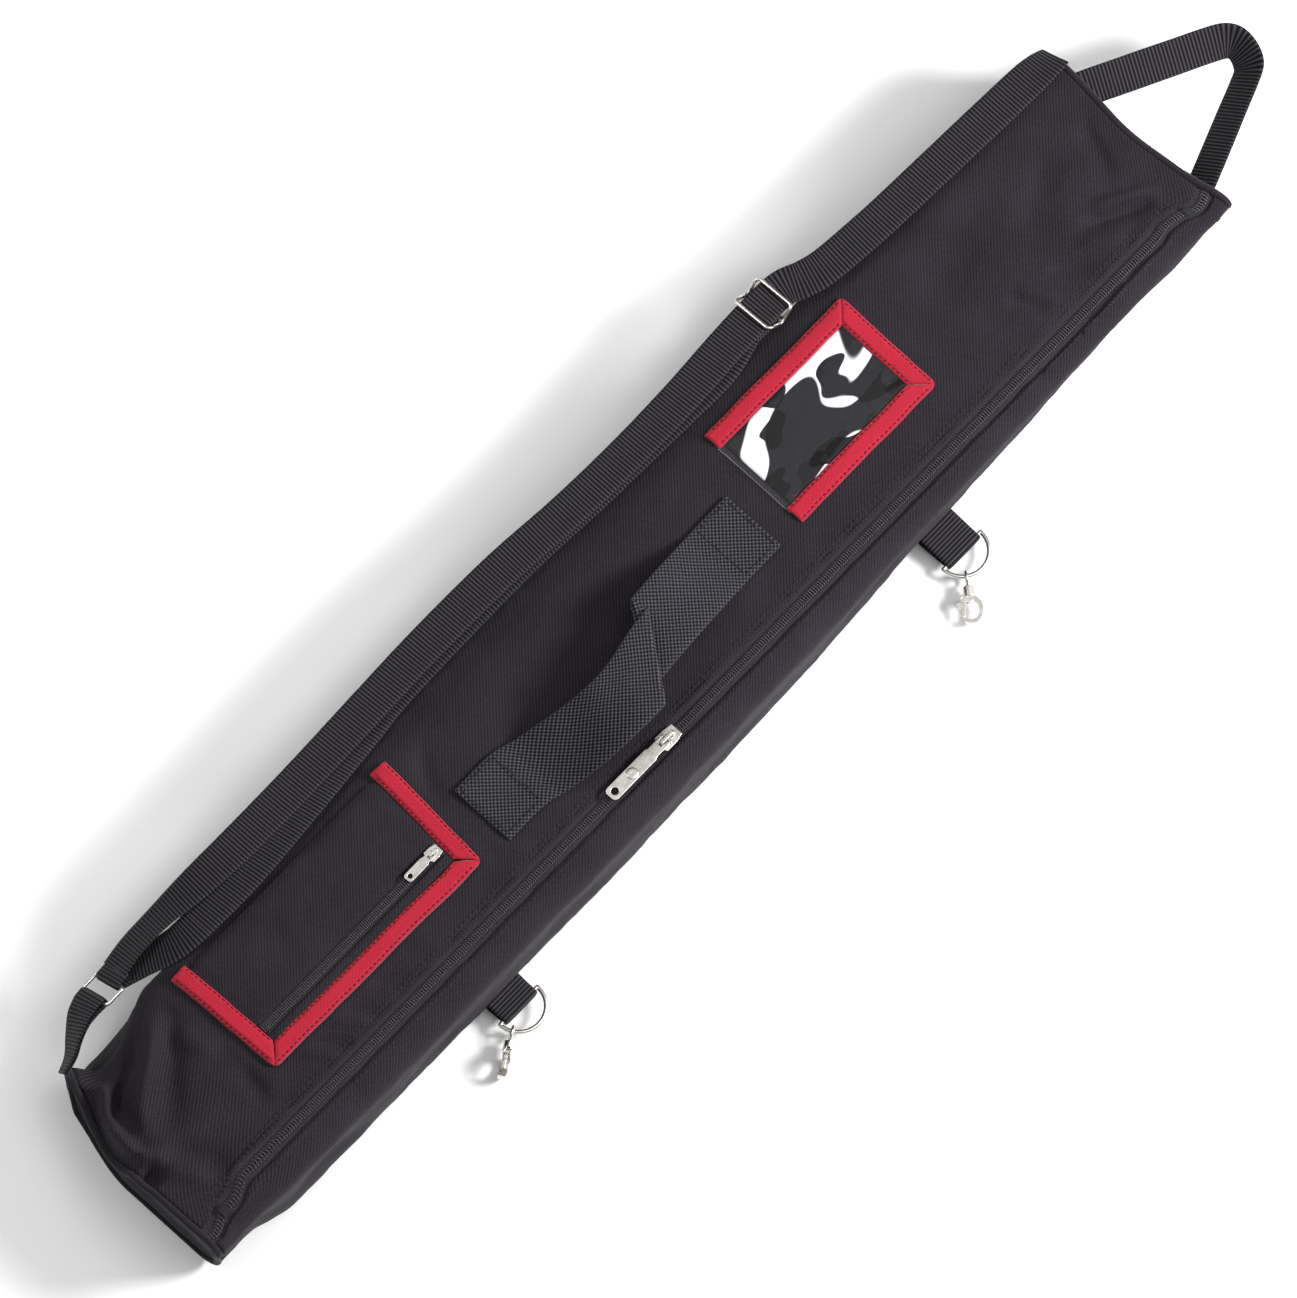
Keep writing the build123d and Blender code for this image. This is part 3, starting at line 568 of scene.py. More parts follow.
def yarn(name, dark, light, roughness=0.7, scale=1.6):
    """Twisted thread or the yarns of webbing, whose shape is in the mesh."""
    material, tree, shader = base_material(name, roughness, sheen=0.08, specular=0.2)
    vector, along, across = cloth_place(tree)
    lean = plus(tree, along, times(tree, across, 1.7))
    twist = wave_of(tree, lean, 0.45)
    fibre = noise_of(tree, vector, scale, 3.0)
    tone = plus(tree, times(tree, twist, 0.4), times(tree, fibre, 0.75))
    tree.links.new(ramp_of(tree, tone, [(0.2, dark), (0.9, light)]), shader.inputs["Base Color"])
    bump_into(tree, shader, tone, 0.5, 0.00012)
    return material


def webbed(name, dark, light, pitch, cross_pitch):
    """Webbing: yarn knuckles painted light, in ribs or in staggered dots, over gaps painted dark as
    shade.
    """
    material, tree, shader = base_material(name, 0.72, sheen=0.05, specular=0.16)
    vector, along, across = cloth_place(tree)
    # painted highlight on the knuckles of yarn and painted shade in the gaps between them
    ridge = times(tree, along, 2 * math.pi / pitch)
    painted_knuckle_light = math_node(tree, "COSINE", ridge)
    if cross_pitch:
        turn = times(tree, across, 2 * math.pi / cross_pitch)
        painted_knuckle_light = times(tree, painted_knuckle_light, math_node(tree, "COSINE", turn))
    else:
        painted_knuckle_light = times(tree, painted_knuckle_light, -1.0)
    fibre = noise_of(tree, vector, 1.6, 3.0)
    tone = scaled(tree, painted_knuckle_light, 0.30, 0.18)
    tone = plus(tree, tone, times(tree, fibre, 0.55))
    tree.links.new(ramp_of(tree, tone, [(0.32, dark), (0.8, light)]), shader.inputs["Base Color"])
    strands = wave_of(tree, across, 0.6)
    height = plus(tree, times(tree, strands, 0.6), fibre)
    bump_into(tree, shader, height, 0.5, 0.00014)
    return material


def metal(name, colour, roughness):
    """Bright plate over a casting: soft unevenness, fine scratches and dulled spots."""
    material, tree, shader = base_material(name, roughness, metallic=1.0)
    place = object_place(tree)
    cloud = noise_of(tree, place, 260.0, 3.0)
    scratch = noise_of(tree, place, 2600.0, 2.0, 0.7)
    dull = scaled(tree, cloud, 0.18, roughness - 0.07)
    tree.links.new(dull, shader.inputs["Roughness"])
    shade = ramp_of(tree, cloud, [(0.25, tuple(c * 0.82 for c in colour)), (0.7, colour)])
    tree.links.new(shade, shader.inputs["Base Color"])
    height = plus(tree, times(tree, cloud, 1.0), times(tree, scratch, 0.25))
    bump_into(tree, shader, height, 0.25, 0.00012)
    return material


def moulded(name, dark, light, roughness):
    """Extruded or moulded polymer with a faint grain."""
    material, tree, shader = base_material(name, roughness)
    place = object_place(tree)
    grain = noise_of(tree, place, 1800.0, 2.0)
    tree.links.new(ramp_of(tree, grain, [(0.3, dark), (0.75, light)]), shader.inputs["Base Color"])
    bump_into(tree, shader, grain, 0.2, 0.00005)
    return material


def printed_card(name):
    """Black card printed with loose white leaf shapes of no particular design."""
    material, tree, shader = base_material(name, 0.6, specular=0.08)
    place = object_place(tree)
    stretch = node_of(tree, "ShaderNodeMapping")
    stretch.inputs["Rotation"].default_value = (0, 0, math.radians(28))
    stretch.inputs["Scale"].default_value = (1.0, 2.3, 1.0)
    tree.links.new(place, stretch.inputs["Vector"])
    blot = noise_of(tree, stretch.outputs["Vector"], 17.0, 0.0)
    hole = noise_of(tree, stretch.outputs["Vector"], 44.0, 0.0)
    split = node_of(tree, "ShaderNodeSeparateXYZ")
    tree.links.new(place, split.inputs[0])
    low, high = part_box("insert_card")
    # the print fades out to plain black towards the card's lower side
    up = scaled(tree, split.outputs["Y"], 1 / (high.y - low.y), -low.y / (high.y - low.y))
    tone = plus(tree, blot, times(tree, up, 0.20))
    black, white = (0.012, 0.011, 0.014), (0.86, 0.86, 0.90)
    swash = ramp_of(tree, tone, [(0.52, black), (0.53, white), (0.69, white), (0.70, black)])
    leaf = ramp_of(tree, hole, [(0.605, (1, 1, 1)), (0.615, black)])
    ink = node_of(tree, "ShaderNodeMix", data_type="RGBA", blend_type="MULTIPLY")
    ink.inputs["Factor"].default_value = 1.0
    tree.links.new(swash, ink.inputs[6])
    tree.links.new(leaf, ink.inputs[7])
    tree.links.new(ink.outputs[2], shader.inputs["Base Color"])
    fibre = noise_of(tree, place, 3000.0, 2.0)
    bump_into(tree, shader, fibre, 0.1, 0.00003)
    return material


def clear_vinyl(name):
    """Soft clear vinyl: see-through, with a wet gloss over slow ripples."""
    material = bpy.data.materials.new(name)
    material.use_nodes = True
    tree = material.node_tree
    shader = tree.nodes["Principled BSDF"]
    shader.inputs["Base Color"].default_value = (0.5, 0.5, 0.52, 1)
    shader.inputs["Roughness"].default_value = 0.07
    shader.inputs["IOR"].default_value = 1.5
    place = object_place(tree)
    ripple = noise_of(tree, place, 55.0, 3.0)
    bump_into(tree, shader, ripple, 0.3, 0.0008)
    facing = node_of(tree, "ShaderNodeLayerWeight")
    facing.inputs["Blend"].default_value = 0.28
    haze = noise_of(tree, place, 420.0, 3.0)
    cover = scaled(tree, haze, 0.012, 0.004)
    cover = math_node(tree, "ADD", cover, times(tree, facing.outputs["Fresnel"], 0.22),
                      clamp=True)
    tree.links.new(cover, shader.inputs["Alpha"])
    return material


CLOTH_MATERIAL = woven("bag_cloth", (0.0020, 0.0015, 0.0024), (0.044, 0.036, 0.048), 1.55, sheen=0.04)
PIPING_MATERIAL = woven("piping_tape", (0.004, 0.0033, 0.0044), (0.034, 0.028, 0.036), 0.7,
                        diagonal=False)
TAPE_MATERIAL = woven("zip_tape", (0.006, 0.005, 0.006), (0.062, 0.052, 0.065), 0.9,
                      diagonal=False)
RED_MATERIAL = woven("red_binding", (0.24, 0.007, 0.019), (0.56, 0.020, 0.046), 1.0,
                     diagonal=False, sheen=0.15, fuzz=0.5)
RED_THREAD = yarn("red_thread", (0.025, 0.001, 0.003), (0.075, 0.003, 0.007))
BLACK_THREAD = yarn("black_thread", (0.004, 0.004, 0.005), (0.03, 0.028, 0.032))
STRAP_MATERIAL = webbed("strap_yarn", (0.0016, 0.0013, 0.0017), (0.053, 0.047, 0.057), 1.9, 0)
HANDLE_MATERIAL = webbed("handle_yarn", (0.0005, 0.0005, 0.0007), (0.088, 0.083, 0.102), 2.55, 2.55)
COIL_MATERIAL = moulded("zip_coil", (0.020, 0.018, 0.021), (0.085, 0.078, 0.09), 0.4)
NICKEL = metal("nickel_plate", (0.84, 0.81, 0.77), 0.26)
CARD_MATERIAL = printed_card("printed_card")
VINYL_MATERIAL = clear_vinyl("clear_vinyl")


def dress(piece, material, body="bag", replaces=()):
    """Gives a piece its material, the body it rides on and the nodes it stands for."""
    piece.data.materials.clear()
    piece.data.materials.append(material)
    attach(piece, body)
    if replaces:
        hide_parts(*replaces)
    return piece


# ---------------------------------------------------------------- the bag's cloth shell
def arc(cy, cz, radius, start, end, count):
    angle = np.radians(np.linspace(start, end, count))
    return [(cy + radius * math.cos(a), cz + radius * math.sin(a)) for a in angle]


def line(a, b, count):
    return [(a[0] + (b[0] - a[0]) * t, a[1] + (b[1] - a[1]) * t)
            for t in np.linspace(0, 1, count)]


EDGE = 12.0
SIDE = HALF_WIDTH - EDGE
FRONT_PROFILE = (line((SLOT_FRONT + 0.5, TOP - 2.3), (SLOT_FRONT - 0.5, TOP - 1.5), 3)
                 + line((SLOT_FRONT - 0.1, TOP - 0.7), (SLOT_FRONT + 0.8, TOP - 0.35), 2)
                 + line((SLOT_FRONT + 2.6, TOP - 0.2), (SIDE - 1.5, TOP), 60)
                 + arc(SIDE, TOP - EDGE, EDGE, 88, 1, 12))
STRAP_SIDE_PROFILE = line((HALF_WIDTH, TOP - EDGE - 0.2), (HALF_WIDTH, EDGE + 0.2), 18)
BACK_PROFILE = (arc(SIDE, EDGE, EDGE, -1, -88, 10) + line((SIDE - 2, 0), (2 - SIDE, 0), 34)
                + arc(-SIDE, EDGE, EDGE, -92, -179, 10))
ZIP_SIDE_PROFILE = (line((-HALF_WIDTH, EDGE + 0.2), (-HALF_WIDTH, TOP - EDGE), 18)
                    + arc(-SIDE, TOP - EDGE, EDGE, 176, 92, 12)
                    + line((-SIDE + 0.6, TOP), (SLOT_GUSSET - 0.8, TOP - 0.35), 3)
                    + line((SLOT_GUSSET + 0.1, TOP - 0.7), (SLOT_GUSSET + 0.5, TOP - 1.5), 2)
                    + [(SLOT_GUSSET - 0.5, TOP - 2.3)])
ROWS = np.concatenate([np.linspace(-SHELL_HALF, -330, 18)[:-1],
                       np.linspace(-330, 330, int(660 / STEP) + 1),
                       np.linspace(330, SHELL_HALF, 18)[1:]])


def seam_dip(points, profile):
    """Draws the cloth in at its sewn edges, with small uneven puckers beside the stitches."""
    edge = np.minimum(arc_lengths(points, 1), arc_lengths(points, 1)[:, -1:]
                      - arc_lengths(points, 1))
    normal = grid_normals(points)
    pucker = fractal(xyz(points[..., 0], 0, profile), 9, 11, 2)
    draw = 0.7 * np.exp(-(edge / 1.3) ** 2) + 0.35 * pucker * np.exp(-(edge / 7.0) ** 2)
    return points - normal * draw[..., None]


def shell_part(name, node, profile, seed):
    """One cloth panel of the shell, running the length of the bag."""
    section = np.array(profile)
    points = np.zeros((len(ROWS), len(section), 3))
    points[..., 0] = ROWS[:, None]
    points[..., 1] = section[None, :, 0]
    points[..., 2] = section[None, :, 1]
    cut = points
    points = settle(points)
    points = seam_dip(points, seed)
    grain = fractal(points * np.array([1, 1, 1.0]), 13, seed, 2)
    points -= grid_normals(points) * (0.22 * grain)[..., None]
    piece = solid_sheet(name, points, CLOTH, cut=cut)
    return dress(piece, CLOTH_MATERIAL, replaces=[node])


front_cloth = shell_part("front_cloth", "front_panel", FRONT_PROFILE, 3)
shell_part("strap_side_cloth", "strap_side_gusset", STRAP_SIDE_PROFILE, 4)
shell_part("back_cloth", "back_panel", BACK_PROFILE, 5)
shell_part("zip_side_cloth", "zip_side_gusset", ZIP_SIDE_PROFILE, 6)

OUTLINE = (line((-SIDE, TOP), (SIDE, TOP), 34)[:-1] + arc(SIDE, TOP - EDGE, EDGE, 90, 0, 10)[:-1]
           + line((HALF_WIDTH, TOP - EDGE), (HALF_WIDTH, EDGE), 14)[:-1]
           + arc(SIDE, EDGE, EDGE, 0, -90, 10)[:-1] + line((SIDE, 0), (-SIDE, 0), 34)[:-1]
           + arc(-SIDE, EDGE, EDGE, -90, -180, 10)[:-1]
           + line((-HALF_WIDTH, EDGE), (-HALF_WIDTH, TOP - EDGE), 14)[:-1]
           + arc(-SIDE, TOP - EDGE, EDGE, 180, 90, 10)[:-1])


def outline_at(x, inset):
    ring = np.array(OUTLINE)
    centre = np.array([0, TOP / 2])
    away = ring - centre
    shrink = 1 - inset / np.maximum(np.linalg.norm(away, axis=1), 1)
    ring = centre + away * shrink[:, None]
    return settle(xyz(x, ring[:, 0], ring[:, 1]))


for end, sign in (("top", 1), ("bottom", -1)):
    seam_x = sign * (HALF_LENGTH - PIPING / 2)
    cord = tube(f"{end}_piping_cord", outline_at(seam_x, 1.6), PIPING / 2 + 0.1, 10, closed=True)
    dress(cord, PIPING_MATERIAL, replaces=[f"{end}_end_piping"])
    # the end panel is a disc of cloth drawn in to the piping and hollowed in its middle
    rings = []
    for share in np.linspace(1, 0, 15):
        ring = outline_at(seam_x, 2.2)
        middle = ring.mean(0)
        points = middle + (ring - middle) * share
        dish = (1 - share ** 2) * 2.0
        wrinkle = fractal(points, 22, 21 + sign, 3) * 1.6 * (1 - share ** 4)
        points[:, 0] += sign * (dish + wrinkle + 1.0 * share * (1 - share))
        rings.append(points)
    panel = np.array(rings)
    around = panel.shape[1]
    vertices = np.concatenate([panel.reshape(-1, 3),
                               panel.reshape(-1, 3) - np.array([sign * 1.2, 0, 0])])
    count = len(panel) * around
    outer_faces = grid_faces(len(panel), around, close_columns=True)
    inner_faces = [tuple(reversed([i + count for i in f])) for f in outer_faces]
    rim = [(c, (c + 1) % around, (c + 1) % around + count, c + count) for c in range(around)]
    faces = outer_faces + inner_faces + rim
    if sign < 0:
        faces = [tuple(reversed(f)) for f in faces]
    end_cloth = new_mesh(f"{end}_end_cloth", vertices, faces,
                         xyz(vertices[:, 1], vertices[:, 2], 0))
    dress(end_cloth, CLOTH_MATERIAL, replaces=[f"{end}_end_panel"])


# ---------------------------------------------------------------- long zipper
def strip_grid(xs, ys, z):
    grid = np.zeros((len(xs), len(ys), 3))
    grid[..., 0], grid[..., 1], grid[..., 2] = np.asarray(xs)[:, None], np.asarray(ys)[None], z
    return grid


def zip_coil(name, low_x, high_x, y, z, half_width, half_height, wire, pitch, side, move):
    """One row of a coil zipper: a flattened helix, its heads towards the other row."""
    turns = int((high_x - low_x) / pitch)
    steps = 10
    t = np.arange(turns * steps + 1) / steps
    angle = 2 * math.pi * t
    x = low_x + (high_x - low_x) * t / turns
    head = np.cos(angle) * side
    path = np.stack([x + 0.12 * pitch * np.sin(2 * angle),
                     y + half_width * np.sign(head) * np.abs(head) ** 0.8,
                     z + half_height * np.sin(angle)], 1)
    return tube(name, move(path), wire, 6)


def chain_threads(name, low_x, high_x, ys, z, pitch, radius, move):
    """The sewing that holds each coil to its tape, in rows along the chain."""
    threads = Threads()
    for y in ys:
        xs = np.arange(low_x, high_x, 4.0)
        threads.row(move(xyz(xs, y, z)), (0, 0, 1), pitch, 0.62, radius)
    return threads.piece(name)


tape_rows = np.linspace(-HALF_LENGTH + 1.5, HALF_LENGTH - 1.5, 240)
CHAIN_HALF = HALF_LENGTH - 3.0
for name, low_y, high_y in (("front", ZIP_Y + 0.25, ZIP_Y + 8), ("gusset", ZIP_Y - 8, ZIP_Y - 0.25)):
    grid = settle(strip_grid(tape_rows, np.linspace(low_y, high_y, 8), TAPE_TOP + 0.3))
    tape = solid_sheet(f"main_zip_tape_{name}_cloth", grid, 0.6)
    dress(tape, TAPE_MATERIAL, replaces=[f"main_zip_tape_{name}"])
for name, side in (("front", 1), ("gusset", -1)):
    coil = zip_coil(f"main_zip_coil_{name}_turns", -CHAIN_HALF, CHAIN_HALF,
                    ZIP_Y + side * 1.05, TAPE_TOP + 0.95, 1.2, 0.62, 0.3, 1.4, side, settle)
    dress(coil, COIL_MATERIAL, replaces=[f"main_zip_coil_{name}"])
threads = chain_threads("main_zip_threads", -CHAIN_HALF, CHAIN_HALF,
                        (ZIP_Y - 1.5, ZIP_Y + 1.5), TAPE_TOP + 1.75, 1.4, 0.2, settle)
dress(threads, BLACK_THREAD)

# a bar of close stitches across the chain stops the slider at each end
bars = Threads()
stop_low, stop_high = corner_mm("main_zip_stops")
for middle in (stop_low[0] + 2, stop_high[0] - 2):
    for shift in np.arange(-1.6, 1.7, 0.4):
        ends = strip_grid([middle + shift], [ZIP_Y - 3.4, ZIP_Y + 3.4], TAPE_TOP + 2.35)
        start, end = settle(ends[0])
        bars.stitch(start, end, (0, 0, 1), 0.3)
dress(bars.piece("main_zip_bar_tacks"), BLACK_THREAD, replaces=["main_zip_stops"])

# Topstitching beside the zipper, along its seams
topstitch = Threads()
xs = np.arange(-352, 352, 5.0)
for y in (SLOT_FRONT + 3.6, SLOT_GUSSET - 2.6):
    line_points = settle(xyz(xs, y, TOP - 0.05))
    topstitch.row(line_points, (0, 0, 1), 3.4, 0.7, 0.3)
dress(topstitch.piece("zipper_topstitch"), BLACK_THREAD)


# ---------------------------------------------------------------- red bindings
def binding_leg(length, width, low_z, high_z, seed, mitres, rounding=3.6):
    """One strip in its own place: s runs along it, w across it from the outer edge. mitres says
    whether its start and its end are cut at 45 degrees to meet another strip."""
    rows, columns = max(14, int(length / 1.6)), 23
    w = np.linspace(0, width, columns)[None]
    share = np.linspace(0, 1, rows)[:, None]
    first, last = w * mitres[0], length - w * mitres[1]
    s = first + (last - first) * share
    across = w + 0 * s
    for at_start, cx in ((1, rounding), (0, length - rounding)):
        if not mitres[1 - at_start]:
            continue
        dx, dy = s - cx, across - rounding
        outside = ((dx < 0) if at_start else (dx > 0)) & (dy < 0)
        away = np.hypot(dx, dy)
        shrink = np.where(outside & (away > rounding), rounding / np.maximum(away, 1e-6), 1)
        s, across = cx + dx * shrink, rounding + dy * shrink
    t = 2 * w / width - 1
    crown = np.clip(1 - np.abs(t) ** 6, 0, 1) ** 0.5
    rim = np.minimum(w, width - w)
    height = low_z + (high_z - low_z) * (0.2 + 0.8 * crown) + 0 * s
    height = height - 0.55 * np.exp(-((rim - 1.5) / 0.5) ** 2)
    pucker = fractal(xyz(s, across, seed), 4.0, seed, 2)
    height = height + 0.35 * pucker * np.exp(-((rim - 1.5) / 2.6) ** 2)
    if mitres[0]:
        height = height - 0.6 * np.exp(-((s - across) / 0.7) ** 2)
    if mitres[1]:
        height = height - 0.6 * np.exp(-((length - s - across) / 0.7) ** 2)
    return s, across, height


def binding(name, corners, width, low_z, high_z, seed):
    """Red tape sewn round an open frame: strips from corner to corner, mitred where they meet,
    each with two rows of stitches. Corners run so that the frame's inside is on the left."""
    threads = Threads()
    last = len(corners) - 2
    for number in range(last + 1):
        start, end = np.array(corners[number], float), np.array(corners[number + 1], float)
        along = end - start
        length = np.linalg.norm(along)
        along /= length
        inward = np.array([-along[1], along[0]])
        s, w, height = binding_leg(length, width, low_z, high_z, seed + number,
                                   (number > 0, number < last))
        wave = fractal(xyz(s, 0, number), 34, seed + 7, 2)
        ease = smooth(0, 22, s) * smooth(length, length - 22, s)
        shifted = w + 0.9 * wave * ease
        flat = start + along * s[..., None] + inward * shifted[..., None]
        grid = settle(np.concatenate([flat, height[..., None]], -1))
        strip = solid_sheet(f"{name}_{number}", grid, high_z - low_z - 0.15)
        dress(strip, RED_MATERIAL, replaces=[name])
        columns = grid.shape[1]
        for share in (1.5 / width, 1 - 1.5 / width):
            column = int(round(share * (columns - 1)))
            threads.row(grid[1:-1, column] + np.array([0, 0, 0.22]), (0, 0, 1), 3.0, 0.66, 0.33)
    dress(threads.piece(f"{name}_stitches"), RED_THREAD)


b_low, b_high = corner_mm("pocket_binding")
binding("pocket_binding", [(b_low[0] - 1.6, b_high[1] + 2.0), (b_low[0] + 0.2, b_low[1] - 0.2),
                           (b_high[0] - 1.0, b_low[1] - 2.0), (b_high[0] + 4.0, b_high[1] + 2.0)],
        10.6, TOP, b_high[2] + 0.5, 31)
w_low, w_high = corner_mm("window_binding")
binding("window_binding", [(w_low[0], w_low[1] - 0.4), (w_high[0], w_low[1] - 0.4),
                           (w_high[0] + 1.0, w_high[1]), (w_low[0], w_high[1] + 0.4)],
        11.0, TOP, w_high[2] + 0.3, 41)


# ---------------------------------------------------------------- pocket
panel_low, panel_high = corner_mm("pocket_panel_large")
small_low = corner_mm("pocket_panel_small")[0]
pocket_tape_low, pocket_tape_high = corner_mm("pocket_zip_tape_large")
pocket_coil_low, pocket_coil_high = corner_mm("pocket_zip_coil_large")
POCKET_ZIP_Y = (corner_mm("pocket_zip_coil_small")[1][1] + pocket_coil_low[1]) / 2


def pocket_cloth(name, node, profile, fullness):
    """A strip of the pocket: profile is (y, z) from the binding or hem to the zipper."""
    section = np.array(profile)
    xs = np.linspace(panel_low[0] - 3, panel_high[0] + 3, 78)
    grid = strip_grid(xs, section[:, 0], 0.0)
    grid[..., 2] = section[None, :, 1]
    inner = (smooth(panel_low[0], panel_low[0] + 24, xs)
             * smooth(panel_high[0], panel_high[0] - 24, xs))[:, None]
    middle = np.sin(np.linspace(0, math.pi, len(section)))[None]
    ripple = fractal(grid, 30, 51, 3)
    grid[..., 2] += fullness * inner * middle * (1 + 0.9 * ripple)
    grid[..., 2] += 0.18 * fractal(grid, 9, 52, 2)
    dip = (1 - smooth(panel_low[0] - 3, panel_low[0] + 5, xs)
           + 1 - smooth(panel_high[0] + 3, panel_high[0] - 5, xs))[:, None]
    grid[..., 2] -= 1.4 * dip * (section[None, :, 1] > TOP + 0.5)
    piece = solid_sheet(name, settle(grid), 0.9, cut=grid)
    return dress(piece, CLOTH_MATERIAL, replaces=[node])


ROLL = [(panel_low[1] + 1.6, TOP + 1.7), (panel_low[1] + 0.4, TOP + 2.1),
        (panel_low[1] + 0.1, TOP + 2.7), (panel_low[1] + 0.6, TOP + 3.1)]
pocket_cloth("pocket_cloth_large", "pocket_panel_large",
             ROLL + line((panel_low[1] + 2.0, TOP + 3.2), (46.5, TOP + 2.9), 26)
             + [(48.6, TOP + 2.4), (49.8, TOP + 1.4), (50.2, TOP + 0.3), (49.6, TOP - 0.4)], 1.5)
pocket_cloth("pocket_cloth_small", "pocket_panel_small",
             [(small_low[1] - 2, TOP + 2.2), (small_low[1], TOP + 2.7), (-5.4, TOP + 3.1),
              (-4.2, TOP + 3.1), (-3.3, TOP + 2.8), (-3.1, TOP + 2.2), (-3.6, TOP + 1.7),
              (-4.6, TOP + 1.5)], 0.15)
hem = solid_sheet("pocket_hem_cloth",
                  settle(strip_grid(np.linspace(panel_low[0], panel_high[0], 60),
                                    np.linspace(45.5, 49.6, 6), TOP + 1.6)), 1.6)
dress(hem, CLOTH_MATERIAL, replaces=["pocket_hem"])

pocket_rows = np.linspace(pocket_tape_low[0], pocket_tape_high[0], 60)
for name, low_y, high_y in (("large", POCKET_ZIP_Y + 0.2, POCKET_ZIP_Y + 8.5),
                            ("small", POCKET_ZIP_Y - 7.0, POCKET_ZIP_Y - 0.2)):
    grid = settle(strip_grid(pocket_rows, np.linspace(low_y, high_y, 6), pocket_tape_high[2]))
    tape = solid_sheet(f"pocket_zip_tape_{name}_cloth", grid, 0.6)
    dress(tape, TAPE_MATERIAL, replaces=[f"pocket_zip_tape_{name}"])
for name, side in (("large", 1), ("small", -1)):
    coil = zip_coil(f"pocket_zip_coil_{name}_turns", pocket_coil_low[0], pocket_coil_high[0],
                    POCKET_ZIP_Y + side * 1.0, pocket_tape_high[2] + 0.72, 1.2, 0.5, 0.27, 1.2,
                    side, settle)
    dress(coil, COIL_MATERIAL, replaces=[f"pocket_zip_coil_{name}"])
threads = chain_threads("pocket_zip_threads", pocket_coil_low[0], pocket_coil_high[0],
                        (POCKET_ZIP_Y - 1.5, POCKET_ZIP_Y + 1.5), pocket_tape_high[2] + 1.4,
                        1.2, 0.15, settle)
dress(threads, BLACK_THREAD)
pocket_stitches = Threads()
xs = np.arange(panel_low[0] + 2, panel_high[0] - 2, 4.0)
for y in (panel_low[1] + 2.4, -5.6):
    path = settle(xyz(xs, y, TOP + 3.15))
    pocket_stitches.row(path, (0, 0, 1), 3.2, 0.7, 0.22)
dress(pocket_stitches.piece("pocket_topstitch"), BLACK_THREAD)


# ---------------------------------------------------------------- window and its card
sheet_low, sheet_high = corner_mm("window_sheet")
xs = np.linspace(sheet_low[0] - 0.8, sheet_high[0] + 3, 70)
ys = np.linspace(sheet_low[1] - 3, sheet_high[1] + 3, 40)
vinyl_grid = strip_grid(xs, ys, sheet_high[2])
loose_edge = smooth(sheet_low[0] + 22, sheet_low[0], xs)[:, None]
middle = (np.sin(np.clip((ys - sheet_low[1]) / (sheet_high[1] - sheet_low[1]), 0, 1)
                 * math.pi))[None]
vinyl_grid[..., 2] += 0.35 * fractal(vinyl_grid, 16, 61, 3) + 0.9 * loose_edge * middle
vinyl_grid[..., 2] -= 0.5 * (1 - middle)
window_vinyl = solid_sheet("window_vinyl", settle(vinyl_grid), 0.4)
dress(window_vinyl, VINYL_MATERIAL, replaces=["window_sheet"])

card_low, card_high = corner_mm("insert_card")
card_grid = strip_grid(np.linspace(card_low[0], card_high[0], 40),
                       np.linspace(card_low[1], card_high[1], 24), card_high[2] - 0.05)
card = solid_sheet("printed_insert", settle(card_grid), 0.3)
dress(card, CARD_MATERIAL, body="card", replaces=["insert_card"])


# ---------------------------------------------------------------- carrying handle
# The handle flops towards the zipper and its middle is folded back on itself in a slanting Z,
# the lower half lying over the upper. Sideways place and height are given along the bag.
HANDLE_Y = [(-140, 6.5), (-112, 6.2), (-95, 1.5), (-72, -4.6), (-44, -7.4), (-15, -4.4),
            (10, -2.4), (30, -0.4), (52, 2.6), (81, 3.0)]
HANDLE_Z = [(-126, 59.3), (-96, 59.5), (-87, 60.4), (-76, 64.8), (-62, 71.8), (-48, 77.2),
            (-34, 79.0), (-8, 78.6), (8, 77.6), (22, 74.6), (35, 68.6), (47, 61.6), (55, 59.5),
            (81, 59.3)]
FOLD_POINT, FOLD_HALF, FOLD_RADIUS = (-9.5, -7.5), 1.9, 1.25
fold_across = np.array([0.80, -0.60])


def fold_section():
    """Across the fold: place on the flat webbing, place along the fold's normal, height."""
    r, half = FOLD_RADIUS, FOLD_HALF
    turn = np.radians(np.linspace(0, 180, 15))
    n = np.concatenate([[120, 20, 6], -half - r * np.sin(turn), half + r * np.sin(turn),
                        [-8, -30, -150]])
    up = np.concatenate([[0, 0, 0], r - r * np.cos(turn), 3 * r - r * np.cos(turn),
                         [4 * r, 4 * r, 4 * r]])
    length = np.concatenate([[0], np.cumsum(np.hypot(np.diff(n), np.diff(up)))])
    return (120 - length)[::-1], n[::-1], up[::-1]


def eased(table, x):
    """Smooth curve through (x, value) pairs."""
    dense = smooth_path([(a, b, 0) for a, b in table], 1.0)
    return np.interp(x, dense[:, 0], dense[:, 1])


fold_flat, fold_n, fold_up = fold_section()
slack = fold_n[0] - fold_flat[0]
handle_x = np.arange(-125 - slack * fold_across[0], 80.01, 0.42)
handle_w = np.linspace(-19, 19, 92)
gx, gw = np.meshgrid(handle_x, handle_w, indexing="ij")
gy = eased(HANDLE_Y, gx) + gw * (1 - 0.13 * bump(gx, -54, 22) * smooth(-6, 12, gw))
u = (gx - FOLD_POINT[0]) * fold_across[0] + (gy - FOLD_POINT[1]) * fold_across[1]
shift = np.interp(u, fold_flat, fold_n) - u
lift = np.interp(u, fold_flat, fold_up) * smooth(-64, -22, u)
middle = xyz(gx + shift * fold_across[0], gy + shift * fold_across[1], 0)
middle[..., 2] = eased(HANDLE_Z, middle[..., 0]) + lift - 1.2 * bump(gw, 0, 12) * smooth(55, 30, gx)
middle[..., 2] += 0.9 * fractal(middle, 28, 81, 2) * smooth(59.6, 66, middle[..., 2])
rim_fade = np.sqrt(np.clip(1 - np.abs(gw / 19) ** 14, 0.1, 1))
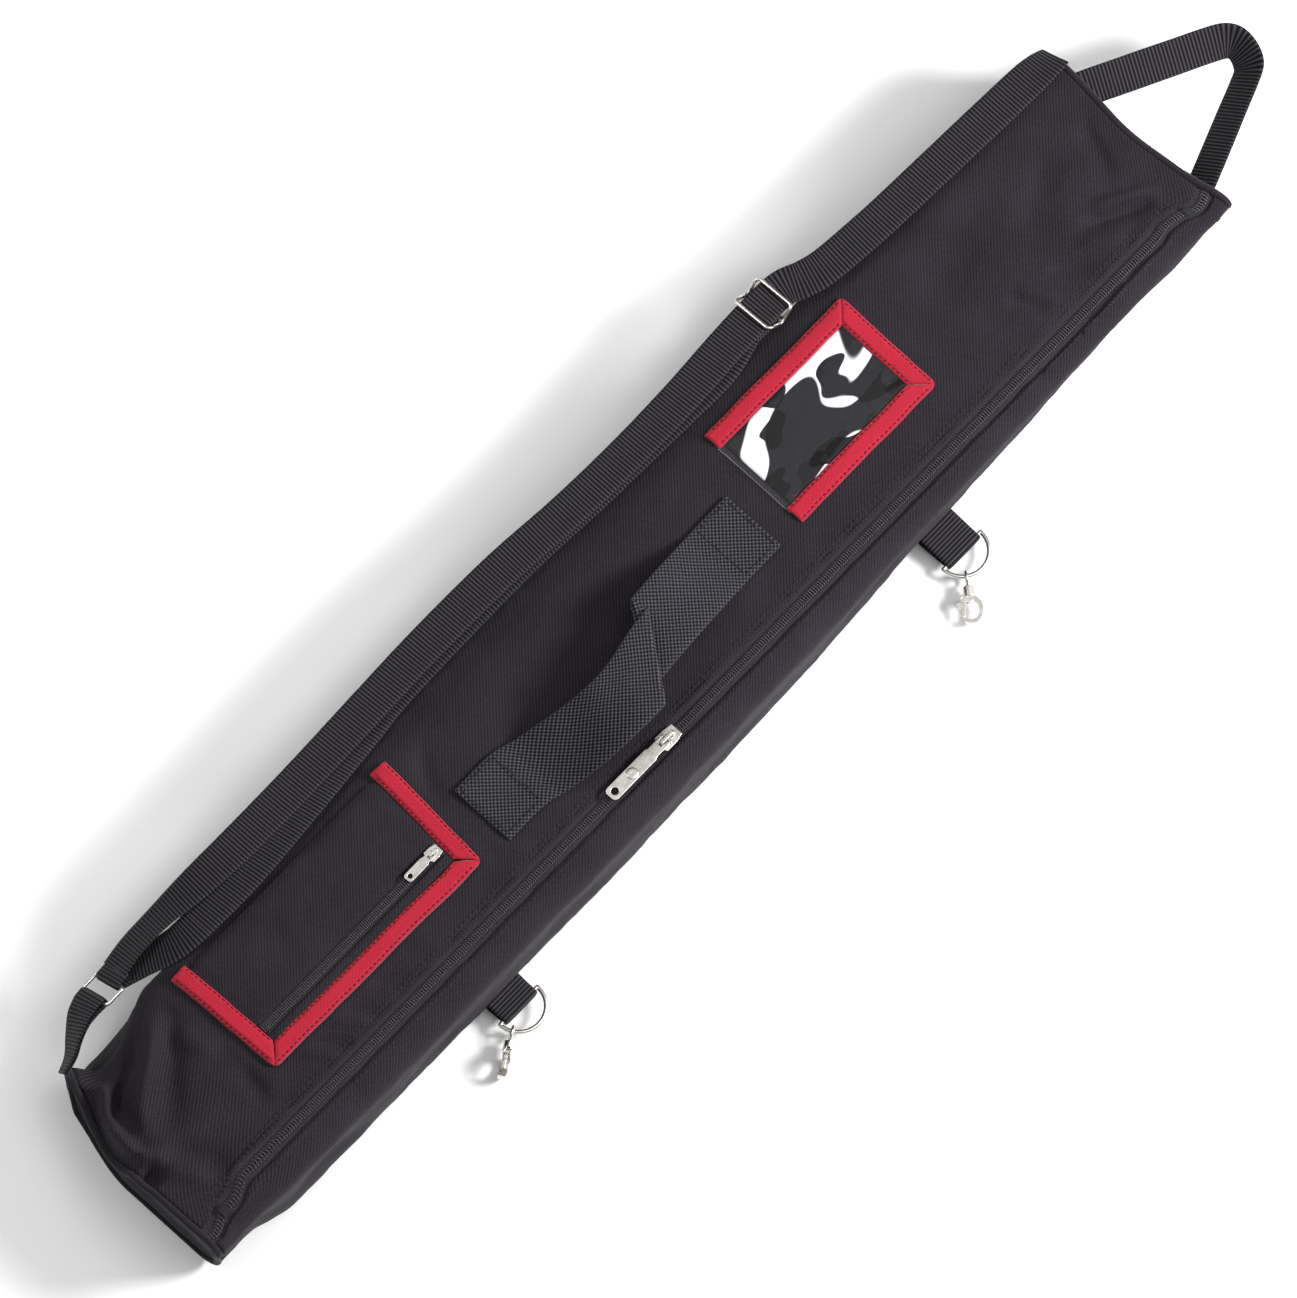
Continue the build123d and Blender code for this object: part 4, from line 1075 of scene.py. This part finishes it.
knuckles = np.cos(2 * math.pi * gx / 2.55) * np.cos(2 * math.pi * gw / 2.55)
half = grid_normals(middle) * ((0.8 + 0.42 * knuckles) * rim_fade)[..., None]
handle = closed_sheet("carry_handle_webbing", middle + half, middle - half, xyz(gx, gw, 0))
dress(handle, HANDLE_MATERIAL, replaces=["carry_handle"])
handle_stitches = Threads()
for inner, outer, low_w, high_w in ((56.5, 78.0, -13.6, 19.4), (-99.0, -122.5, -18.8, 13.8)):
    corners = [(inner, low_w), (outer, low_w), (outer, high_w), (inner, high_w), (inner, low_w)]
    for (x0, y0), (x1, y1) in zip(corners, corners[1:]):
        count = max(2, int(math.hypot(x1 - x0, y1 - y0) / 3))
        run = xyz(np.linspace(x0, x1, count), np.linspace(y0, y1, count), 60.5)
        handle_stitches.row(run, (0, 0, 1), 3.2, 0.75, 0.36)
dress(handle_stitches.piece("handle_stitches"), BLACK_THREAD)


# ---------------------------------------------------------------- shoulder strap
def turned(roll_degrees):
    """Unit vectors across a strap and out of its face, for a roll about X."""
    roll = np.radians(np.asarray(roll_degrees, float))
    across = xyz(0, np.cos(roll), np.sin(roll))
    out = xyz(0, -np.sin(roll), np.cos(roll))
    return across, out


def wander(path, low_x, high_x, amount, seed):
    """Small sideways and up-and-down drift of a soft strap away from its sewn ends."""
    share = smooth(low_x, low_x + 40, path[:, 0]) * smooth(high_x, high_x - 40, path[:, 0])
    spot = xyz(path[:, 0], 0, 0)
    path = path.copy()
    path[:, 1] += amount * share * fractal(spot, 90, seed, 2)
    path[:, 2] += 0.6 * amount * share * fractal(spot, 70, seed + 1, 2)
    return path


STRAP = 20.0                           # width of the shoulder strap
RIB = 1.9                              # pitch of its ribs
ADJUSTER_X, ADJUSTER_Y, ADJUSTER_Z, ADJUSTER_ROLL = 167.0, 77.0, 55.0, -8.0
RING_Y, RING_Z, RING_ROLL = 78.0, 40.0, -40.0
ring_across, ring_out = turned(RING_ROLL)
RUN = [(-305.0, 79.6, 41.0, -40), (-290, 81.2, 45.0, -42), (-270, 80.6, 48.8, -38),
       (-245, 78.4, 53.2, -20), (-215, 77, 55, -9), (-170, 77.2, 55, -8), (-120, 78.6, 55, -8),
       (-76, 79.6, 55, -8), (-25, 78.8, 55, -8), (20, 75.4, 55, -8), (60, 74.0, 55, -8),
       (100, 74.4, 55, -8), (140, 76.4, 55, -8), (167, 77, 55, -8), (180, 75.8, 55.6, -8),
       (190, 71.2, 57.2, -8), (202, 67.6, 58.9, -8), (225, 65.0, 60.0, -8), (255, 63.0, 60.0, -8),
       (309, 61.2, 59.6, -7), (340, 60.2, 59.0, -10), (353, 59.6, 57.8, -20),
       (362.0, 59.0, 55.6, -34)]
path = wander(smooth_path(RUN, 0.36), 195, 345, 0.7, 71)
across, _ = turned(path[:, 3])
shoulder = webbing("shoulder_strap_webbing", path[:, :3], -across, STRAP, 1.25,
                   ribs(RIB, 0.42), cup=-0.5)
RETURN = [(-304.5, 76.8, 38.0, -40), (-290, 70.4, 46.0, -36), (-277, 65.0, 53.0, -28),
          (-262, 63.0, 56.4, -22), (-230, 62.6, 57.4, -20), (-200, 64.6, 56.8, -20),
          (-170, 67.6, 55.4, -18), (-133, 72.0, 52.2, -12), (-100, 75.5, 50.4, -8),
          (-20, 76.5, 50.0, -8), (36, 73.6, 50.4, -8), (60, 72.8, 50.6, -8), (100, 71.2, 51.4, -10),
          (128, 71.0, 51.4, -10), (150.7, 76.2, 51.3, -8)]
SPLIT_X = -262.0
path = smooth_path(RETURN, 0.36)
across, _ = turned(path[:, 3])
near_end = path[:, 0] <= SPLIT_X
return_end = webbing("strap_return_end_webbing", path[near_end][:, :3], -across[near_end], STRAP,
                     1.2, ribs(RIB, 0.42))
run_on = path[:, 0] >= path[near_end][-1, 0] - 0.01
return_run = webbing("strap_return_webbing", path[run_on][:, :3], -across[run_on], STRAP, 1.2,
                     ribs(RIB, 0.42))


def wrap(name, bar, across, out, radius, tail, pattern, width=STRAP, thickness=1.25,
         spread=0.0, toward=1.0, pinch=0.0):
    """Strap folded round a bar. The layers run from the bar along +X (toward 1) or -X (-1),
    spread apart beyond the bar's own thickness."""
    turn = np.radians(np.linspace(90, 270, 16))
    along = np.array([toward, 0, 0])
    stations = []
    steps = np.linspace(tail, 0.8, max(6, int(tail / 1.0)))
    for s in steps:
        ease = smooth(0, tail, s)
        stations.append(bar + along * s + out * (radius + spread * ease - pinch * ease))
    for t in turn:
        stations.append(bar + along * math.cos(t) * radius + out * math.sin(t) * radius)
    for s in steps[::-1]:
        ease = smooth(0, tail, s)
        stations.append(bar + along * s - out * (radius + spread * ease - pinch * ease))
    path = smooth_path(stations, 0.3)
    sideways = np.broadcast_to(-across * toward, path.shape)
    return webbing(name, path, sideways, width, thickness, pattern)


adjuster_across, adjuster_out = turned(ADJUSTER_ROLL)
middle_bar = np.array([ADJUSTER_X, ADJUSTER_Y, ADJUSTER_Z]) - adjuster_out * 3.7
end_fold = wrap("strap_end_fold_webbing", middle_bar, adjuster_across, adjuster_out, 1.75, 16,
                ribs(RIB, 0.35), thickness=1.15, toward=-1.0, pinch=1.05)
near_bar = np.array([-310.0, RING_Y, RING_Z])
ring_fold = wrap("strap_ring_fold_webbing", near_bar, ring_across, ring_out, 1.8, 7.3,
                 ribs(RIB, 0.38), spread=0.3, toward=1.0)
far_bar = np.array([-322.0, RING_Y, RING_Z])

# the tab that holds the ring is one strap folded round the far bar, sewn into the end seam
TAB = [(-326, 78, 40, -40), (-334, 76.2, 39.0, -46), (-343, 71.6, 36.8, -58),
       (-351, 66.6, 34, -68), (-360.0, 63.6, 32, -74)]
spine = smooth_path(TAB, 0.5)
_, spine_out = turned(spine[:, 3])
gap_half = np.interp(spine[:, 0], [-360.0, -340, -326], [0.75, 0.8, 1.8])[:, None]
upper_layer = (spine[:, :3] + spine_out * gap_half)[::-1]
under_layer = spine[:, :3] - spine_out * gap_half
turn = np.radians(np.linspace(100, -100, 14))
round_bar = far_bar + np.stack([np.cos(turn), 0 * turn, 0 * turn], 1) * 2.05 \
    + ring_out * (np.sin(turn) * 2.05)[:, None]
tab_path = np.concatenate([upper_layer, round_bar, under_layer])
tab_roll = np.concatenate([spine[::-1, 3], np.full(14, RING_ROLL), spine[:, 3]])
tab_stations = np.concatenate([tab_path, tab_roll[:, None]], 1)
tab_stations = smooth_path(tab_stations[::3], 0.35)
across, _ = turned(tab_stations[:, 3])
anchor = webbing("strap_anchor_webbing", tab_stations[:, :3], across, STRAP, 1.25,
                 ribs(RIB, 0.4))
tab_stitches = Threads()
for x in (-330.5, -333.5):
    spot = smooth_path([(x, 0, 0, 0), (x + 0.1, 0, 0, 0), (x + 0.2, 0, 0, 0)], 0.1)[0]
    y, z, lean = (np.interp(-x, -spine[:, 0], spine[:, k]) for k in (1, 2, 3))
    tab_across, tab_out = turned(lean)
    ends = np.array([-8.0, 0.0, 8.0])[:, None] * tab_across + np.array([x, y, z]) + tab_out * 2.1
    tab_stitches.row(ends, tab_out, 2.4, 0.75, 0.28)
dress(tab_stitches.piece("strap_anchor_stitches"), BLACK_THREAD)

for piece, node, body in ((return_run, "strap_return", "bag"), (anchor, "strap_anchor_tab", "bag"),
                          (end_fold, "strap_end_fold", "adjuster"),
                          (ring_fold, "strap_ring_fold", "ring")):
    dress(piece, STRAP_MATERIAL, body=body, replaces=[node])
for piece, node in ((shoulder, "shoulder_strap"), (return_end, "strap_return")):
    piece.data.materials.append(STRAP_MATERIAL)
    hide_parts(node)
    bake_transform(piece)
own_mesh(return_run)


# ---------------------------------------------------------------- grab loop at the top end
GRAB = [(360.5, -38.8, 37, 40), (364.5, -37.4, 38, 40), (385, -29.6, 38.2, 40),
        (405, -21.9, 38.4, 41), (422, -15.4, 38.4, 42), (428.5, -12.0, 38.4, 42),
        (432.0, -6.5, 38.4, 42), (433.4, 0.0, 38.4, 42), (431.5, 5.0, 38.4, 42),
        (425, 9.6, 38.4, 42), (405, 19.8, 38.3, 41), (385, 29.9, 38.2, 40),
        (364.5, 40.3, 38, 40), (360.5, 41.8, 37, 40)]
path = smooth_path(GRAB, 0.36)
tangent = unit(np.gradient(path[:, :3], axis=0))
outward = np.cross(tangent, (0, 0, 1))
lean = np.radians(path[:, 3])[:, None]
across = outward * np.cos(lean) + np.array([0, 0, 1]) * np.sin(lean)
length = arc_lengths(path[:, :3], 0)
apex = length[np.argmax(path[:, 0])]


def grab_pinch(s, w):
    """The strap buckles where it turns back at the loop's tip."""
    return 1.6 * bump(s, apex, 7.0) * (1 - 2 * smooth(-10, 10, w)) * 0.6 + 0 * w


grab = webbing("grab_loop_webbing", path[:, :3], across, 20.0, 1.5, ribs(RIB, 0.42),
               crush=grab_pinch)
grab.data.materials.append(STRAP_MATERIAL)
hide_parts("grab_loop")
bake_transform(grab)


# ---------------------------------------------------------------- side tabs
for name in ("upper", "lower"):
    low, high = corner_mm(f"{name}_side_tab")
    middle_x = (low[0] + high[0]) / 2
    bar = np.array([middle_x, low[1] + 2.7, (low[2] + high[2]) / 2])
    turn = np.radians(np.linspace(90, 270, 14))
    root = 48.0 if name == "upper" else 55.0
    stations = [(middle_x, -root, 11.4), (middle_x, -(root + 67) / 2, 10.2), (middle_x, -67, 9.0)]
    stations += [(middle_x, bar[1] + 1.9 * math.cos(t), bar[2] + 1.9 * math.sin(t)) for t in turn]
    stations += [(middle_x, -67, 4.2), (middle_x, -(root + 67) / 2, 3.8), (middle_x, -root, 4.6)]
    tab_line = smooth_path(stations, 0.4)
    tab = webbing(f"{name}_tab_webbing", tab_line, np.broadcast_to((1.0, 0, 0), tab_line.shape),
                  high[0] - low[0], 1.1, ribs(RIB, 0.3))
    dress(tab, STRAP_MATERIAL, replaces=[f"{name}_side_tab"])


# ---------------------------------------------------------------- metal parts
def cast(node, body, voxel):
    """A plated casting: the CAD solid with its edges softened."""
    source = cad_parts[node]
    mesh = source.data.copy()
    piece = bpy.data.objects.new(f"{node}_cast", mesh)
    bpy.context.scene.collection.objects.link(piece)
    weld = piece.modifiers.new("weld", "WELD")
    weld.merge_threshold = 0.00002
    remesh = piece.modifiers.new("remesh", "REMESH")
    remesh.mode = "VOXEL"
    remesh.voxel_size = voxel * MM
    remesh.use_smooth_shade = True
    soften = piece.modifiers.new("soften", "SMOOTH")
    soften.factor = 0.5
    soften.iterations = 4
    depsgraph = bpy.context.evaluated_depsgraph_get()
    made = bpy.data.meshes.new_from_object(piece.evaluated_get(depsgraph))
    piece.modifiers.clear()
    piece.data = made
    return dress(piece, NICKEL, body=body, replaces=[node])


WIRE = 1.0                             # half the thickness of the strap fittings' wire


def wire_frame(name, centre, across, out, length, half_width, rounding, height):
    """Closed rectangle of wire with rounded corners, sunk at its middle by the bow."""
    corners = []
    for sx, sy, start in ((1, 1, 0), (-1, 1, 90), (-1, -1, 180), (1, -1, 270)):
        for a in np.radians(np.linspace(start, start + 90, 8)):
            corners.append((sx * (length / 2 - rounding) + rounding * math.cos(a),
                            sy * (half_width - rounding) + rounding * math.sin(a)))
    dense = []
    for (x0, y0), (x1, y1) in zip(corners, corners[1:] + corners[:1]):
        steps = max(1, int(math.hypot(x1 - x0, y1 - y0) / 0.6))
        for k in range(steps):
            dense.append((x0 + (x1 - x0) * k / steps, y0 + (y1 - y0) * k / steps))
    flat = np.array(dense)
    points = (centre + np.outer(flat[:, 0], (1, 0, 0)) + np.outer(flat[:, 1], across)
              + np.outer(height(flat[:, 0]), out))
    return tube(name, points, WIRE, 14, closed=True)


def adjuster_height(x):
    return 2.2 - 5.4 * np.cos(np.clip(x / 8.5, -1, 1) * math.pi / 2) ** 2


adjuster_centre = np.array([ADJUSTER_X, ADJUSTER_Y, ADJUSTER_Z])
frame_wire = wire_frame("strap_adjuster_frame", adjuster_centre, adjuster_across, adjuster_out,
                        17.0, 11.9, 2.4, adjuster_height)
dress(frame_wire, NICKEL, body="adjuster", replaces=["strap_adjuster"])
bar_ends = adjuster_centre - adjuster_out * 3.5 + np.outer(np.linspace(-12.2, 12.2, 30),
                                                           adjuster_across)
centre_bar = tube("strap_adjuster_bar", bar_ends, np.array([0.6, 0.95] + [1.0] * 26 + [0.95, 0.6]),
                  14)
dress(centre_bar, NICKEL, body="adjuster")
ring_wire = wire_frame("strap_ring_frame", np.array([-316.0, RING_Y, RING_Z]), ring_across,
                       ring_out, 12.0, 11.9, 1.5, lambda x: 0 * x)
dress(ring_wire, NICKEL, body="ring", replaces=["strap_ring"])

for name, finest in (("main", 0.14), ("pocket", 0.10)):
    cast(f"{name}_zip_slider", f"{name}_slider", finest + 0.02)
    cast(f"{name}_zip_pull", f"{name}_pull", finest)
for name in ("upper", "lower"):
    for node, body, voxel in (("d_ring", "ring", 0.16), ("swivel_eye", "eye", 0.14),
                              ("snap_hook", "hook", 0.15), ("hook_lever", "lever", 0.12),
                              ("hook_pin", "hook", 0.1)):
        cast(f"{name}_{node}", f"{name}_{body}", voxel)


def pull_boss(node, inset, radius, rise):
    """Low round boss raised on a pull tab, at a distance from its free end."""
    low, high = corner_mm(node)
    x, y = low[0] + inset, (low[1] + high[1]) / 2
    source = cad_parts[node]
    corners = np.array([source.matrix_world @ v.co for v in source.data.vertices]) / MM
    top = corners[corners[:, 0] < x, 2].max()
    angle = 2 * math.pi * np.arange(32) / 32
    rings = []
    for share, lift in ((1.0, -0.2), (1.0, 0.4), (0.93, 0.85), (0.8, 1.0), (0.4, 0.92), (0.02, 0.9)):
        rings.append(np.stack([x + radius * share * np.cos(angle),
                               y + radius * share * np.sin(angle),
                               np.full(32, top + rise * lift)], 1))
    grid = np.array(rings)
    faces = grid_faces(len(grid), 32, close_columns=True)
    faces += [tuple(range(31, -1, -1)), tuple((len(grid) - 1) * 32 + k for k in range(32))]
    return new_mesh(f"{node}_boss", grid.reshape(-1, 3), faces, grid.reshape(-1, 3))


dress(pull_boss("main_zip_pull", 16.6, 3.1, 0.5), NICKEL, body="main_pull")

# ---------------------------------------------------------------- floor, light and camera
def stage_plane(name, size, z, material):
    half = size / 2
    mesh = bpy.data.meshes.new(name)
    mesh.from_pydata([(-half, -half, z), (half, -half, z), (half, half, z), (-half, half, z)], [],
                     [(0, 1, 2, 3)])
    piece = bpy.data.objects.new(name, mesh)
    piece.data.materials.append(material)
    bpy.context.scene.collection.objects.link(piece)
    return piece


paper, _, paper_shader = base_material("paper", 0.75, specular=0.2)
paper_shader.inputs["Base Color"].default_value = (0.93, 0.93, 0.93, 1)
floor = stage_plane("floor", 8.0, -0.0006, paper)


def area_light(name, place, size, watts, tint=(1, 1, 1)):
    light = bpy.data.lights.new(name, "AREA")
    light.shape = "RECTANGLE"
    light.size, light.size_y = size
    light.energy = watts
    light.color = tint
    lamp = bpy.data.objects.new(name, light)
    lamp.location = place
    aim = Vector((0, 0, 0.03)) - Vector(place)
    lamp.rotation_mode = "QUATERNION"
    lamp.rotation_quaternion = aim.to_track_quat("-Z", "Y")
    bpy.context.scene.collection.objects.link(lamp)
    return lamp


area_light("key", (1.05, -1.15, 1.15), (0.6, 0.5), 56)
area_light("fill", (-0.9, 1.3, 1.7), (1.4, 1.0), 15)
area_light("overhead", (0.3, -0.7, 2.4), (1.5, 1.2), 14)

world = bpy.data.worlds.new("studio")
world.use_nodes = True
# bright overhead and darker towards the horizon, so that metal shows its shape
world_tree = world.node_tree
direction = node_of(world_tree, "ShaderNodeTexCoord")
split = node_of(world_tree, "ShaderNodeSeparateXYZ")
world_tree.links.new(direction.outputs["Generated"], split.inputs[0])
dome = ramp_of(world_tree, split.outputs["Z"], [(0.0, (0.10, 0.10, 0.11)), (0.35, (0.3, 0.3, 0.3)),
                                                (0.62, (0.12, 0.12, 0.13)), (0.75, (0.7, 0.7, 0.7)),
                                                (1.0, (0.75, 0.75, 0.75))])
world_tree.links.new(dome, world_tree.nodes["Background"].inputs["Color"])
world_tree.nodes["Background"].inputs["Strength"].default_value = 0.8
bpy.context.scene.world = world
bpy.context.scene.view_settings.view_transform = "Standard"

camera_data = bpy.data.cameras.new("camera")
camera_data.sensor_width = 36
camera_data.lens = 1110
camera = bpy.data.objects.new("camera", camera_data)
azimuth, elevation, distance = math.radians(-47), math.radians(73), 20.0
back = Vector((math.sin(azimuth) * math.cos(elevation), -math.cos(azimuth) * math.cos(elevation),
               math.sin(elevation)))
camera.location = Vector((0.0018, 0.0020, 0.029)) + back * distance
camera.rotation_mode = "QUATERNION"
camera.rotation_quaternion = (-back).to_track_quat("-Z", "Y")
camera_data.clip_start, camera_data.clip_end = 1, 60
bpy.context.scene.collection.objects.link(camera)
bpy.context.scene.camera = camera
